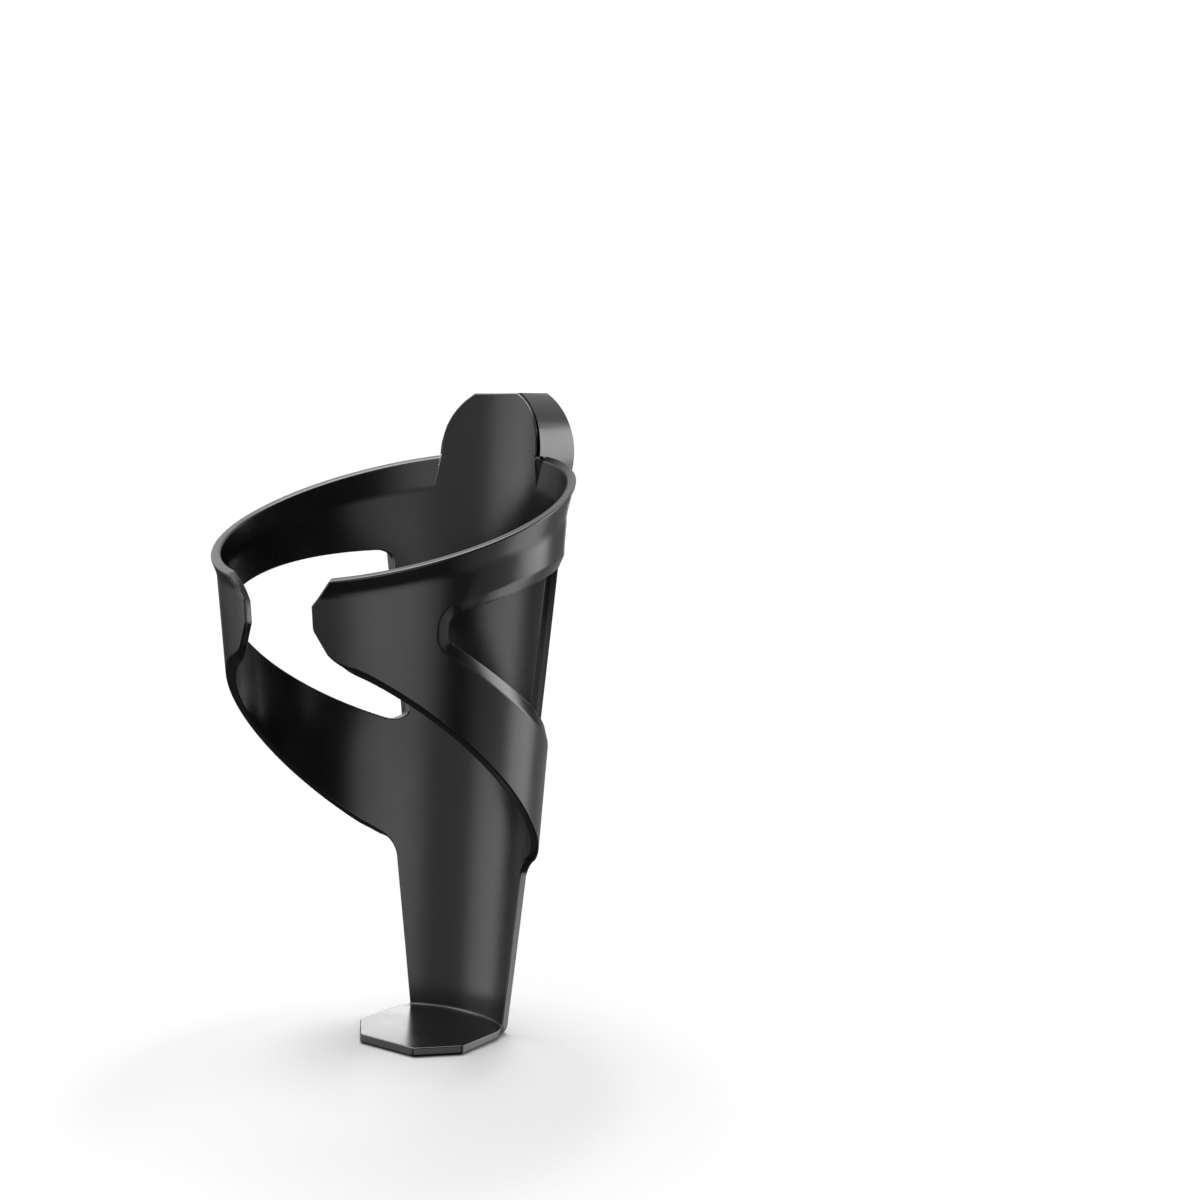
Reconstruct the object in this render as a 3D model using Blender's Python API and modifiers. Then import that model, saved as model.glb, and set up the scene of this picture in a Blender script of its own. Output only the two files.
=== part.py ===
"""Water bottle cage: a conical moulded body with two wrap-round arms, and a screwed-on rear mount block.

The body is drawn as a flat pattern of one half, rolled onto a cone, given its wall and mirrored.
Cage coordinates: Z up the bottle axis from the floor, +Y towards the mount, the gap between the arms at -Y.
The whole cage hangs from an empty, so that the world origin is the middle of the block's rear face.
"""
from dataclasses import dataclass
from math import acos, asin, atan2, cos, pi, radians, sin, sqrt, tan

import bmesh
import bpy
from mathutils import Matrix, Vector

MM = 0.001

# Cone that the whole body lies on
WALL = 2.5 * MM
FLOOR_RADIUS = 33.1 * MM
TAPER = tan(radians(4.3))
COLUMN_STEP = radians(5.0)
CLEARANCE = 0.3 * MM

# Rim and the crease below it, each a slanted plane cut; heights are taken on the bottle axis
RIM_HEIGHT = 135.6 * MM
RIM_SLOPE = tan(radians(17.67))
FLARE_HEIGHT = 5.7 * MM
FLARE_WIDTH = 1.2 * MM
CREASE_SLOPE = tan(radians(15.0))

# Tongue above the crease, and the slits beside it
TONGUE_HALF_WIDTH = 15.2 * MM
TONGUE_ROOT_HALF_WIDTH = 16.4 * MM
TONGUE_SHOULDER = 9.6 * MM
TONGUE_RISE = 14.5 * MM
TONGUE_TOP_HALF_WIDTH = 5.9 * MM
SLIT_WIDTH = 0.6 * MM

# Arm tips beside the front gap
GAP_HALF_WIDTH = 10.5 * MM
TIP_TOP_CHAMFER = 4.1 * MM
TIP_TOP_DROP = 2.2 * MM
TIP_END_LENGTH = 5.5 * MM
TIP_BOTTOM_CHAMFER = 4.8 * MM
TIP_HEEL = 6.0 * MM

# Arm window, drawn from the side, and the band of the arm below it
UPPER_BAND = 9.9 * MM
WINDOW_TOP_SLOPE = tan(radians(11.9))
WINDOW_TOP_RADIUS = -200.0 * MM
WINDOW_OPENING = 24.9 * MM
WINDOW_BOTTOM_SLOPE = -tan(radians(31.8))
WINDOW_BOTTOM_RADIUS = 227.0 * MM
WINDOW_FRONT = -20.8 * MM
WINDOW_BACK = 31.3 * MM
WINDOW_BACK_DRAFT = 0.5 * MM
WINDOW_FRONT_CORNER = 1.6 * MM
WINDOW_BACK_CORNER = 2.7 * MM
WINDOW_BEVEL_WIDTH = 2.9 * MM
WINDOW_BEVEL_DEPTH = 1.1 * MM
WINDOW_EDGE_BREAK = 0.4 * MM
LOWER_BAND = 24.2 * MM
ARM_EDGE_SLOPE = -tan(radians(41.67))

# Stem and foot
STEM_BASE_HALF_WIDTH = 15.1 * MM
STEM_SPREAD = tan(radians(7.1))
STEM_FILLET = 9.0 * MM
FOOT_THICKNESS = 2.6 * MM
FOOT_HALF_WIDTH = 17.0 * MM
FOOT_FRONT = -1.35 * MM
FOOT_FRONT_HALF_WIDTH = 8.8 * MM
FOOT_CHAMFER = 9.4 * MM
FOOT_BEND = 2.2 * MM

# Rear mount block, a disc with two flats, a little narrower than the tongue's root
BLOCK_INSET = 0.2 * MM
BLOCK_DEPTH = 11.0 * MM
BLOCK_FLAT_HALF_WIDTH = 5.3 * MM

# Threaded inserts, above and below the middle of the block
INSERT_SPACING = 17.0 * MM
INSERT_RADIUS = 3.5 * MM
INSERT_LENGTH = 6.0 * MM
INSERT_BORE = 2.1 * MM
INSERT_GROOVE = 0.5 * MM

# Screws that hold the block, left and right of its middle, and the bosses that they bite into
SCREW_SPACING = 21.0 * MM
SCREW_RADIUS = 1.45 * MM
SCREW_BITE = 5.0 * MM
SCREW_HEAD_RADIUS = 2.8 * MM
SCREW_HEAD_HEIGHT = 2.0 * MM
SCREW_HEAD_BREAK = 0.4 * MM
SCREW_SOCKET = 1.25 * MM
SCREW_SOCKET_DEPTH = 1.1 * MM
SCREW_SINK = 1.0 * MM
BOSS_RADIUS = 3.2 * MM
BOSS_HEIGHT = 4.0 * MM

ROUND_SIDES = 32
CONE_SIDES = 144
ARC_POINTS = 6
ROUND_POINTS = 10
WINDOW_POINTS = 12


@dataclass(frozen=True)
class SideLine:
    """A cut seen from the side: its height on the bottle axis, its slope and its bend towards the mount."""

    height: float
    slope: float
    bend_radius: float = 0.0

    def at(self, y):
        """Height of the cut at a distance y behind the bottle axis."""
        bend = y * y / (2 * self.bend_radius) if self.bend_radius else 0
        return self.height + self.slope * y + bend


@dataclass
class Place:
    """A point of the flat pattern, and how its outside corner leaves the square line through the wall."""

    angle: float
    z: float
    wall: float = WALL
    flare: float = 0.0
    turn: float = 0.0
    lift: float = 0.0


def inner_radius(z):
    """Inside radius of the cone at height z."""
    return FLOOR_RADIUS - WALL + TAPER * z


def outer_radius(z):
    """Outside radius of the cone at height z."""
    return inner_radius(z) + WALL


CREASE_HEIGHT = RIM_HEIGHT - FLARE_HEIGHT
WINDOW_TOP_HEIGHT = CREASE_HEIGHT - UPPER_BAND
WINDOW_BOTTOM_HEIGHT = WINDOW_TOP_HEIGHT - WINDOW_OPENING
ARM_EDGE_HEIGHT = WINDOW_BOTTOM_HEIGHT - LOWER_BAND

RIM = SideLine(RIM_HEIGHT, RIM_SLOPE)
CREASE = SideLine(CREASE_HEIGHT, CREASE_SLOPE)
ARM_EDGE = SideLine(ARM_EDGE_HEIGHT, ARM_EDGE_SLOPE)

SHOULDER_HEIGHT = CREASE.at(inner_radius(RIM_HEIGHT)) + TONGUE_SHOULDER
TONGUE_TOP = SHOULDER_HEIGHT + TONGUE_RISE
TIP_END_TOP = CREASE.at(-inner_radius(RIM_HEIGHT)) - TIP_TOP_DROP
TIP_END_BOTTOM = TIP_END_TOP - TIP_END_LENGTH

BLOCK_HALF_WIDTH = TONGUE_ROOT_HALF_WIDTH - BLOCK_INSET
BLOCK_HEIGHT = 2 * sqrt(BLOCK_HALF_WIDTH ** 2 - BLOCK_FLAT_HALF_WIDTH ** 2)
BLOCK_MIDDLE = TONGUE_TOP - BLOCK_HEIGHT / 2
BLOCK_BACK = outer_radius(BLOCK_MIDDLE) + BLOCK_DEPTH
HEAD_SEAT = BLOCK_BACK - SCREW_SINK - SCREW_HEAD_HEIGHT


def height_on(line, angle, widen=0.0):
    """Height at which a side cut meets the inside of the cone, at an angle from the mount side."""
    z = line.height
    for _ in range(30):
        z = line.at((inner_radius(z) + widen) * cos(angle))
    return z


def cut_by(line, angle, flare=0.0):
    """A pattern point on an edge that is cut through the wall by one slanted plane."""
    z = height_on(line, angle, flare)
    return Place(angle, z, flare=flare, lift=height_on(line, angle, flare + WALL) - z)


def back_angle(x, z, widen=0.0):
    """Angle from the mount side of a point x off the middle, on the back half of the cone."""
    return asin(x / (inner_radius(z) + widen))


def cut_from_back(x, z):
    """A pattern point at x off the middle, on an edge that is cut straight through from behind."""
    angle = back_angle(x, z)
    return Place(angle, z, turn=back_angle(x, z, WALL) - angle)


def cut_from_front(x, z):
    """A pattern point at x off the middle, on an edge that is cut straight through from the front."""
    place = cut_from_back(x, z)
    return Place(pi - place.angle, z, turn=-place.turn)


def side_angle(y, z, widen=0.0):
    """Angle from the mount side of a point y behind the bottle axis."""
    return acos(y / (inner_radius(z) + widen))


def cut_from_side(y, z, wall=WALL, draft=0.0):
    """A pattern point at y behind the bottle axis, on an edge that is cut through from the side."""
    angle = side_angle(y, z)
    return Place(angle, z, wall=wall, turn=side_angle(y + draft, z, wall) - angle)


def columns(first, last):
    """The two end angles, and the pattern's columns that lie clear of them."""
    margin = 0.3 * COLUMN_STEP
    low, high = min(first, last) + margin, max(first, last) - margin
    every = [step * COLUMN_STEP for step in range(int(pi / COLUMN_STEP))]
    between = [angle for angle in every if low < angle < high]
    return [first] + (between if first < last else between[::-1]) + [last]


def arc_corner(before, corner, after, radius):
    """Points of an arc that rounds one corner of a flat outline."""
    corner = Vector(corner)
    to_before = (Vector(before) - corner).normalized()
    to_after = (Vector(after) - corner).normalized()
    half = to_before.angle(to_after) / 2
    centre = corner + (to_before + to_after).normalized() * radius / sin(half)
    start = corner + to_before * radius / tan(half) - centre
    end = corner + to_after * radius / tan(half) - centre
    turn = atan2(start.x * end.y - start.y * end.x, start.dot(end))
    return [centre + Matrix.Rotation(turn * step / ARC_POINTS, 2) @ start for step in range(ARC_POINTS + 1)]


def round_side(half_width, flat):
    """Points down one side of a round end, from the flat that cuts it off to its full width."""
    first = acos(flat / half_width)
    turns = [first * (1 - step / ROUND_POINTS) for step in range(ROUND_POINTS + 1)]
    return [Vector((half_width * cos(turn), half_width * sin(turn))) for turn in turns]


def even(first, last, count):
    """Evenly spaced values from first to last, both ends included."""
    return [first + (last - first) * step / (count - 1) for step in range(count)]


def new_object(name, mesh, collection, parent=None):
    """Add a mesh to a collection as an object of its own."""
    item = bpy.data.objects.new(name, mesh)
    collection.objects.link(item)
    item.parent = parent
    return item


def mesh_from(bm, name):
    """Turn a bmesh into a mesh with outward faces and smooth round surfaces."""
    bmesh.ops.recalc_face_normals(bm, faces=bm.faces)
    mesh = bpy.data.meshes.new(name)
    bm.to_mesh(mesh)
    bm.free()
    mesh.shade_smooth()
    mesh.set_sharp_from_angle(angle=radians(30))
    return mesh


def flat_outline(name, points, thickness):
    """A flat outline in XY, filled and thickened about its own plane, as a mesh."""
    curve = bpy.data.curves.new(name, "CURVE")
    curve.dimensions = "2D"
    curve.fill_mode = "BOTH"
    curve.extrude = thickness / 2
    spline = curve.splines.new("POLY")
    spline.points.add(len(points) - 1)
    for target, point in zip(spline.points, points):
        target.co = (point[0], point[1], 0, 1)
    spline.use_cyclic_u = True
    item = bpy.data.objects.new(name, curve)
    bpy.context.scene.collection.objects.link(item)
    mesh = bpy.data.meshes.new_from_object(item.evaluated_get(bpy.context.evaluated_depsgraph_get()))
    bpy.data.objects.remove(item)
    bm = bmesh.new()
    bm.from_mesh(mesh)
    bmesh.ops.remove_doubles(bm, verts=bm.verts, dist=1e-6)
    return mesh_from(bm, name)


def rod(name, radius, front, back, sides=ROUND_SIDES):
    """A round bar along Y between two depths, as a mesh."""
    bm = bmesh.new()
    length = back - front
    bmesh.ops.create_cone(bm, cap_ends=True, segments=sides, radius1=radius, radius2=radius, depth=length)
    turn = Matrix.Rotation(pi / 2, 4, "X")
    bmesh.ops.transform(bm, matrix=Matrix.Translation((0, (front + back) / 2, 0)) @ turn, verts=bm.verts)
    return mesh_from(bm, name)


def turned(name, profile, collection, parent):
    """A turned piece: a profile of (radius, depth) pairs spun round the Y axis, head first."""
    bm = bmesh.new()
    verts = [bm.verts.new((radius, 0, depth)) for radius, depth in profile]
    for first, second in zip(verts, verts[1:]):
        bm.edges.new((first, second))
    if profile[0] == profile[-1]:
        bmesh.ops.remove_doubles(bm, verts=bm.verts, dist=1e-7)
    mesh = bpy.data.meshes.new(name)
    bm.to_mesh(mesh)
    bm.free()
    item = new_object(name, mesh, collection, parent)
    spin = item.modifiers.new("Turn", "SCREW")
    spin.steps = spin.render_steps = ROUND_SIDES
    spin.use_merge_vertices = True
    spin.merge_threshold = 1e-6
    item.rotation_euler = (-pi / 2, 0, 0)
    return item


def combine(item, other, operation):
    """Add a Boolean modifier that joins another object to this one or cuts it away."""
    modifier = item.modifiers.new(f"{operation.title()} {other.name}", "BOOLEAN")
    modifier.operation = operation
    modifier.object = other
    modifier.solver = "EXACT"


class Cutters:
    """Collection of the shapes that are cut from, or joined to, the pieces."""

    def __init__(self, parent):
        self.collection = bpy.data.collections.new("cutters")
        bpy.context.scene.collection.children.link(self.collection)
        self.parent = parent

    def add(self, name, mesh, location=(0, 0, 0)):
        """Add one hidden wire shape."""
        item = new_object(name, mesh, self.collection, self.parent)
        item.location = location
        item.hide_render = True
        item.display_type = "WIRE"
        return item


def window_outline(bevelled):
    """One window seen from the side: its opening, or the line where its bevel starts on the outside."""
    grow = WINDOW_BEVEL_WIDTH if bevelled else 0
    top_grow = grow / cos(atan2(WINDOW_TOP_SLOPE, 1))
    bottom_grow = grow / cos(atan2(WINDOW_BOTTOM_SLOPE, 1))
    top = SideLine(WINDOW_TOP_HEIGHT + top_grow, WINDOW_TOP_SLOPE, WINDOW_TOP_RADIUS)
    bottom = SideLine(WINDOW_BOTTOM_HEIGHT - bottom_grow, WINDOW_BOTTOM_SLOPE, WINDOW_BOTTOM_RADIUS)
    front = WINDOW_FRONT - grow
    back = WINDOW_BACK + (WINDOW_EDGE_BREAK if bevelled else 0)
    run = even(front + 2 * WINDOW_FRONT_CORNER, back - 2 * WINDOW_BACK_CORNER, WINDOW_POINTS)
    top_run = [(y, top.at(y)) for y in run]
    bottom_run = [(y, bottom.at(y)) for y in run]
    front_top, front_bottom = (front, top.at(front)), (front, bottom.at(front))
    back_top, back_bottom = (back, top.at(back)), (back, bottom.at(back))

    edges = top_run + arc_corner(top_run[-1], back_top, back_bottom, WINDOW_BACK_CORNER)
    edges += arc_corner(back_top, back_bottom, bottom_run[-1], WINDOW_BACK_CORNER)
    edges += bottom_run[::-1]
    edges += arc_corner(bottom_run[0], front_bottom, front_top, WINDOW_FRONT_CORNER)
    edges += arc_corner(front_bottom, front_top, top_run[0], WINDOW_FRONT_CORNER)

    places = []
    for y, z in edges:
        near_back = y > WINDOW_BACK - 1.5 * WINDOW_BACK_CORNER
        depth = WINDOW_EDGE_BREAK if near_back else WINDOW_BEVEL_DEPTH
        draft = WINDOW_BACK_DRAFT if near_back else 0
        if bevelled and not near_back:
            places.append(Place(side_angle(y, z, WALL), z))
        else:
            places.append(cut_from_side(y, z, WALL if bevelled else WALL - depth, draft))
    return places


def slit_angle():
    """Angle from the mount side at which the slits beside the tongue end."""
    angle = back_angle(TONGUE_ROOT_HALF_WIDTH, CREASE_HEIGHT)
    for _ in range(10):
        angle = back_angle(TONGUE_ROOT_HALF_WIDTH, height_on(CREASE, angle, WALL))
    return angle


def flare_lines():
    """The crease and the rim of one half, point for point, from the slit round to the arm's tip."""
    slit = slit_angle()
    tip = cut_from_front(GAP_HALF_WIDTH, TIP_END_TOP)
    rim_end = cut_from_front(GAP_HALF_WIDTH + TIP_TOP_CHAMFER, TIP_END_TOP + TIP_TOP_CHAMFER).angle
    rim_end_place = cut_by(RIM, rim_end, FLARE_WIDTH)
    share = (height_on(CREASE, rim_end, WALL) - TIP_END_TOP) / (rim_end_place.z - TIP_END_TOP)
    crease_end = tip.angle + share * (rim_end - tip.angle)
    steps = columns(slit, rim_end)
    crease_angles = steps[:-1] + [crease_end]
    crease = [Place(angle, height_on(CREASE, angle, WALL)) for angle in crease_angles]

    rim_level = height_on(RIM, slit, WALL)
    rise = (rim_level - crease[0].z) / (SHOULDER_HEIGHT - crease[0].z)
    tongue_x = TONGUE_ROOT_HALF_WIDTH + rise * (TONGUE_HALF_WIDTH - TONGUE_ROOT_HALF_WIDTH)
    rim_angles = [back_angle(tongue_x + SLIT_WIDTH, rim_level)] + steps[1:]
    rim = [cut_by(RIM, angle, FLARE_WIDTH) for angle in rim_angles]
    return crease, rim


def stem_half_width(z):
    """Half the stem's width at a height."""
    return STEM_BASE_HALF_WIDTH + STEM_SPREAD * z


def stem_root():
    """Height at which the stem's side, run straight up, would meet the arms' lower edge."""
    z = ARM_EDGE_HEIGHT / 2
    for _ in range(60):
        z += (height_on(ARM_EDGE, back_angle(stem_half_width(z), z)) - z) / 2
    return z


def rolled_corner(before, corner, after, radius):
    """Angle, height and share of the way along an arc that rounds one corner of the rolled outline."""
    size = inner_radius(corner.z)
    flat = [(place.angle * size, place.z) for place in (before, corner, after)]
    arc = arc_corner(*flat, radius)
    return [(along / size, z, step / ARC_POINTS) for step, (along, z) in enumerate(arc)]


def body_outline(crease):
    """Outline of one half of the body below its crease, from the tongue's middle round to the foot."""
    shoulder = (TONGUE_HALF_WIDTH, SHOULDER_HEIGHT)
    end = round_side(TONGUE_HALF_WIDTH, TONGUE_TOP_HALF_WIDTH)
    lift = TONGUE_TOP - end[0].y
    places = [Place(0, TONGUE_TOP)] + [Place(back_angle(x, z + lift), z + lift) for x, z in end]
    places.append(Place(back_angle(*shoulder), SHOULDER_HEIGHT))
    places += crease
    places += [cut_from_front(GAP_HALF_WIDTH, z) for z in (TIP_END_TOP, TIP_END_BOTTOM)]

    heel_x = GAP_HALF_WIDTH + TIP_BOTTOM_CHAMFER
    heel = cut_by(ARM_EDGE, cut_from_front(heel_x, TIP_END_BOTTOM - TIP_BOTTOM_CHAMFER).angle)
    root = stem_root()
    root_angle = back_angle(stem_half_width(root), root)
    edge_end = root_angle + STEM_FILLET / inner_radius(root)
    edge_start = heel.angle - TIP_HEEL / inner_radius(heel.z)
    edge = [cut_by(ARM_EDGE, angle) for angle in columns(edge_start, edge_end)]
    tip = places[-1]
    for angle, z, share in rolled_corner(tip, heel, edge[0], TIP_HEEL):
        places.append(Place(angle, z, turn=(1 - share) * tip.turn, lift=share * edge[0].lift))
    places += edge

    foot = cut_from_back(stem_half_width(0), 0)
    for angle, z, share in rolled_corner(edge[-1], Place(root_angle, root), foot, STEM_FILLET):
        square = cut_from_back(inner_radius(z) * sin(angle), z)
        places.append(Place(angle, z, turn=share * square.turn, lift=(1 - share) * edge[-1].lift))
    return places + [foot, Place(0, 0)]


def fill_pattern():
    """The flat half pattern: the panel filled round its window, a bevel strip and the flared rim strip."""
    bm = bmesh.new()
    layers = {name: bm.verts.layers.float.new(name) for name in ("wall", "flare", "turn", "lift")}

    def chain(places, closed=True):
        verts = [bm.verts.new((place.angle * FLOOR_RADIUS, place.z, 0)) for place in places]
        for vert, place in zip(verts, places):
            for name, layer in layers.items():
                vert[layer] = getattr(place, name)
        ends = verts[1:] + verts[:1] if closed else verts[1:]
        return verts, [bm.edges.new(pair) for pair in zip(verts, ends)]

    crease, rim = flare_lines()
    outline = body_outline(crease)
    panel_verts, panel_edges = chain(outline)
    bevel_edges = chain(window_outline(True))[1]
    bmesh.ops.triangle_fill(bm, edges=panel_edges + bevel_edges, use_beauty=True, normal=(0, 0, 1))
    opening_edges = chain(window_outline(False))[1]
    bmesh.ops.bridge_loops(bm, edges=bevel_edges + opening_edges)
    first = outline.index(crease[0])
    crease_edges = panel_edges[first:first + len(crease) - 1]
    bmesh.ops.bridge_loops(bm, edges=crease_edges + chain(rim, closed=False)[1])

    def split(place, normal):
        geometry = bm.verts[:] + bm.edges[:] + bm.faces[:]
        bmesh.ops.bisect_plane(bm, geom=geometry, plane_co=place, plane_no=normal, dist=1e-6)

    last = max(place.angle for place in outline)
    for column in range(1, int(last / COLUMN_STEP) + 1):
        split((column * COLUMN_STEP * FLOOR_RADIUS, 0, 0), (1, 0, 0))
    for share in (0.1, 0.3, 0.6, 1.0):
        split((0, share * FOOT_BEND, 0), (0, 1, 0))
    return bm, layers


def bend_inset(z):
    """How far the rounded outer edge under the stem lies inside the cone at a low height."""
    below = max(FOOT_BEND - z, 0)
    return FOOT_BEND - sqrt(FOOT_BEND ** 2 - below ** 2)


def body_half():
    """One half of the body's wall, open at the middle plane, as a mesh."""
    bm, layers = fill_pattern()
    for vert in bm.verts:
        angle, z = vert.co.x / FLOOR_RADIUS, vert.co.y
        radius = inner_radius(z) + vert[layers["flare"]]
        vert.co = (radius * sin(angle), radius * cos(angle), z)

    made = bmesh.ops.extrude_face_region(bm, geom=bm.faces[:], use_keep_orig=True)["geom"]
    for vert in [item for item in made if isinstance(item, bmesh.types.BMVert)]:
        angle = atan2(vert.co.x, vert.co.y) + vert[layers["turn"]]
        z = vert.co.z + vert[layers["lift"]]
        radius = inner_radius(z) + vert[layers["flare"]] + vert[layers["wall"]] - bend_inset(z)
        vert.co = (radius * sin(angle), radius * cos(angle), z)
    middle = [face for face in bm.faces if all(abs(vert.co.x) < 1e-6 for vert in face.verts)]
    bmesh.ops.delete(bm, geom=middle, context="FACES")
    return mesh_from(bm, "cage_body")


def foot_plate():
    """The foot's plate with its two front chamfers, reaching back into the stem's wall."""
    seat = inner_radius(0) + 0.1 * WALL
    reach = asin(FOOT_HALF_WIDTH / seat)
    arc = [(seat * sin(angle), seat * cos(angle)) for angle in even(reach, -reach, 13)]
    side = FOOT_FRONT + FOOT_CHAMFER
    right = [(FOOT_FRONT_HALF_WIDTH, FOOT_FRONT), (FOOT_HALF_WIDTH, side)]
    left = [(-x, y) for x, y in right[::-1]]
    return flat_outline("foot_plate", right + arc + left, FOOT_THICKNESS)


def boss_front(x):
    """Depth inside the tongue's wall at which a boss at x off the middle starts."""
    radius = inner_radius(BLOCK_MIDDLE + BOSS_RADIUS)
    return sqrt(radius ** 2 - (x - BOSS_RADIUS) ** 2) + 0.3 * WALL


def boss_back(x):
    """Depth of a boss's rear end."""
    return sqrt(outer_radius(BLOCK_MIDDLE) ** 2 - x ** 2) + BOSS_HEIGHT


def build_body(parts, cutters, parent):
    """The cage body: mirrored wall, foot, and bosses with pilot holes on the tongue's back."""
    body = new_object("cage_body", body_half(), parts, parent)
    mirror = body.modifiers.new("Mirror", "MIRROR")
    mirror.merge_threshold = 1e-6
    combine(body, cutters.add("foot", foot_plate(), (0, 0, FOOT_THICKNESS / 2)), "UNION")
    x = SCREW_SPACING / 2
    pilot_front = boss_back(x) - SCREW_BITE - CLEARANCE
    for side, sign in (("right", 1), ("left", -1)):
        place = (sign * x, 0, BLOCK_MIDDLE)
        boss = cutters.add(f"{side}_boss", rod("boss", BOSS_RADIUS, boss_front(x), boss_back(x)), place)
        combine(body, boss, "UNION")
        hole = rod("pilot", SCREW_RADIUS + CLEARANCE, pilot_front, boss_back(x) + WALL)
        combine(body, cutters.add(f"{side}_pilot", hole, place), "DIFFERENCE")
    weld = body.modifiers.new("Weld", "WELD")
    weld.merge_threshold = 1e-6
    return body


def block_outline():
    """The block's outline about its middle: round, with flats at the top and bottom."""
    side = round_side(BLOCK_HALF_WIDTH, BLOCK_FLAT_HALF_WIDTH)
    side += [Vector((x, -z)) for x, z in reversed(side[:-1])]
    return side + [-point for point in side]


def tongue_cone():
    """A solid cone just clear of the body's outside, which shapes the block's front face."""
    low, high = BLOCK_MIDDLE - BLOCK_HEIGHT, BLOCK_MIDDLE + BLOCK_HEIGHT
    bm = bmesh.new()
    bmesh.ops.create_cone(
        bm, cap_ends=True, segments=CONE_SIDES, depth=high - low,
        radius1=outer_radius(low) + CLEARANCE, radius2=outer_radius(high) + CLEARANCE,
    )
    return mesh_from(bm, "tongue_cone")


def build_block(parts, cutters, parent):
    """The rear mount block, hollowed for the bosses, the screws and the threaded inserts."""
    front = inner_radius(BLOCK_MIDDLE - BLOCK_HEIGHT / 2) * cos(asin(BLOCK_HALF_WIDTH / inner_radius(0)))
    mesh = flat_outline("rear_mount_block", block_outline(), BLOCK_BACK - front)
    mesh.transform(Matrix.Translation((0, (front + BLOCK_BACK) / 2, 0)) @ Matrix.Rotation(pi / 2, 4, "X"))
    block = new_object("rear_mount_block", mesh, parts, parent)
    block.location = (0, 0, BLOCK_MIDDLE)
    combine(block, cutters.add("tongue_cone", tongue_cone(), (0, 0, BLOCK_MIDDLE)), "DIFFERENCE")

    x = SCREW_SPACING / 2
    holes = (
        ("boss_socket", BOSS_RADIUS + CLEARANCE, front, boss_back(x) + CLEARANCE),
        ("screw_hole", SCREW_RADIUS + CLEARANCE, front, BLOCK_BACK),
        ("head_recess", SCREW_HEAD_RADIUS + CLEARANCE, HEAD_SEAT - CLEARANCE, BLOCK_BACK + WALL),
    )
    for side, sign in (("right", 1), ("left", -1)):
        for name, radius, start, end in holes:
            place = (sign * x, 0, BLOCK_MIDDLE)
            combine(block, cutters.add(f"{side}_{name}", rod(name, radius, start, end), place), "DIFFERENCE")
    insert_end = BLOCK_BACK - INSERT_LENGTH - CLEARANCE
    for end_name, sign in (("upper", 1), ("lower", -1)):
        mouth = rod("insert_hole", INSERT_RADIUS + CLEARANCE, insert_end, BLOCK_BACK + WALL)
        place = (0, 0, BLOCK_MIDDLE + sign * INSERT_SPACING / 2)
        combine(block, cutters.add(f"{end_name}_insert_hole", mouth, place), "DIFFERENCE")
    return block


def build_screws(parts, cutters, parent):
    """Two pan-head screws with hexagon sockets, driven from behind into the bosses."""
    x = SCREW_SPACING / 2
    shank = HEAD_SEAT - boss_back(x) + SCREW_BITE
    profile = [
        (0, SCREW_HEAD_HEIGHT), (SCREW_HEAD_RADIUS - SCREW_HEAD_BREAK, SCREW_HEAD_HEIGHT),
        (SCREW_HEAD_RADIUS, SCREW_HEAD_HEIGHT - SCREW_HEAD_BREAK), (SCREW_HEAD_RADIUS, 0),
        (SCREW_RADIUS, 0), (SCREW_RADIUS, SCREW_RADIUS - shank), (0, -shank),
    ]
    screws = []
    for side, sign in (("right", 1), ("left", -1)):
        screw = turned(f"{side}_block_screw", profile, parts, parent)
        screw.location = (sign * x, HEAD_SEAT, BLOCK_MIDDLE)
        depth = HEAD_SEAT + SCREW_HEAD_HEIGHT - SCREW_SOCKET_DEPTH
        socket = rod("socket", SCREW_SOCKET, depth, BLOCK_BACK, sides=6)
        combine(screw, cutters.add(f"{side}_socket", socket, (sign * x, 0, BLOCK_MIDDLE)), "DIFFERENCE")
        screws.append(screw)
    return screws


def build_inserts(parts, parent):
    """Two grooved brass inserts, flush with the back of the block."""
    third = INSERT_LENGTH / 3
    waist = INSERT_RADIUS - INSERT_GROOVE
    profile = [
        (INSERT_BORE, 0), (INSERT_RADIUS, 0), (INSERT_RADIUS, -third), (waist, -third),
        (waist, -2 * third), (INSERT_RADIUS, -2 * third), (INSERT_RADIUS, -INSERT_LENGTH),
        (INSERT_BORE, -INSERT_LENGTH), (INSERT_BORE, 0),
    ]
    inserts = []
    for end_name, sign in (("upper", 1), ("lower", -1)):
        insert = turned(f"{end_name}_threaded_insert", profile, parts, parent)
        insert.location = (0, BLOCK_BACK, BLOCK_MIDDLE + sign * INSERT_SPACING / 2)
        inserts.append(insert)
    return inserts


def finish(items, name, colour, roughness, metallic):
    """Give each piece its own material of one finish."""
    for item in items:
        material = bpy.data.materials.new(f"{name}_{item.name}")
        material.use_nodes = True
        shader = material.node_tree.nodes["Principled BSDF"]
        shader.inputs["Base Color"].default_value = (*colour, 1)
        shader.inputs["Roughness"].default_value = roughness
        shader.inputs["Metallic"].default_value = metallic
        item.data.materials.append(material)


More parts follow.
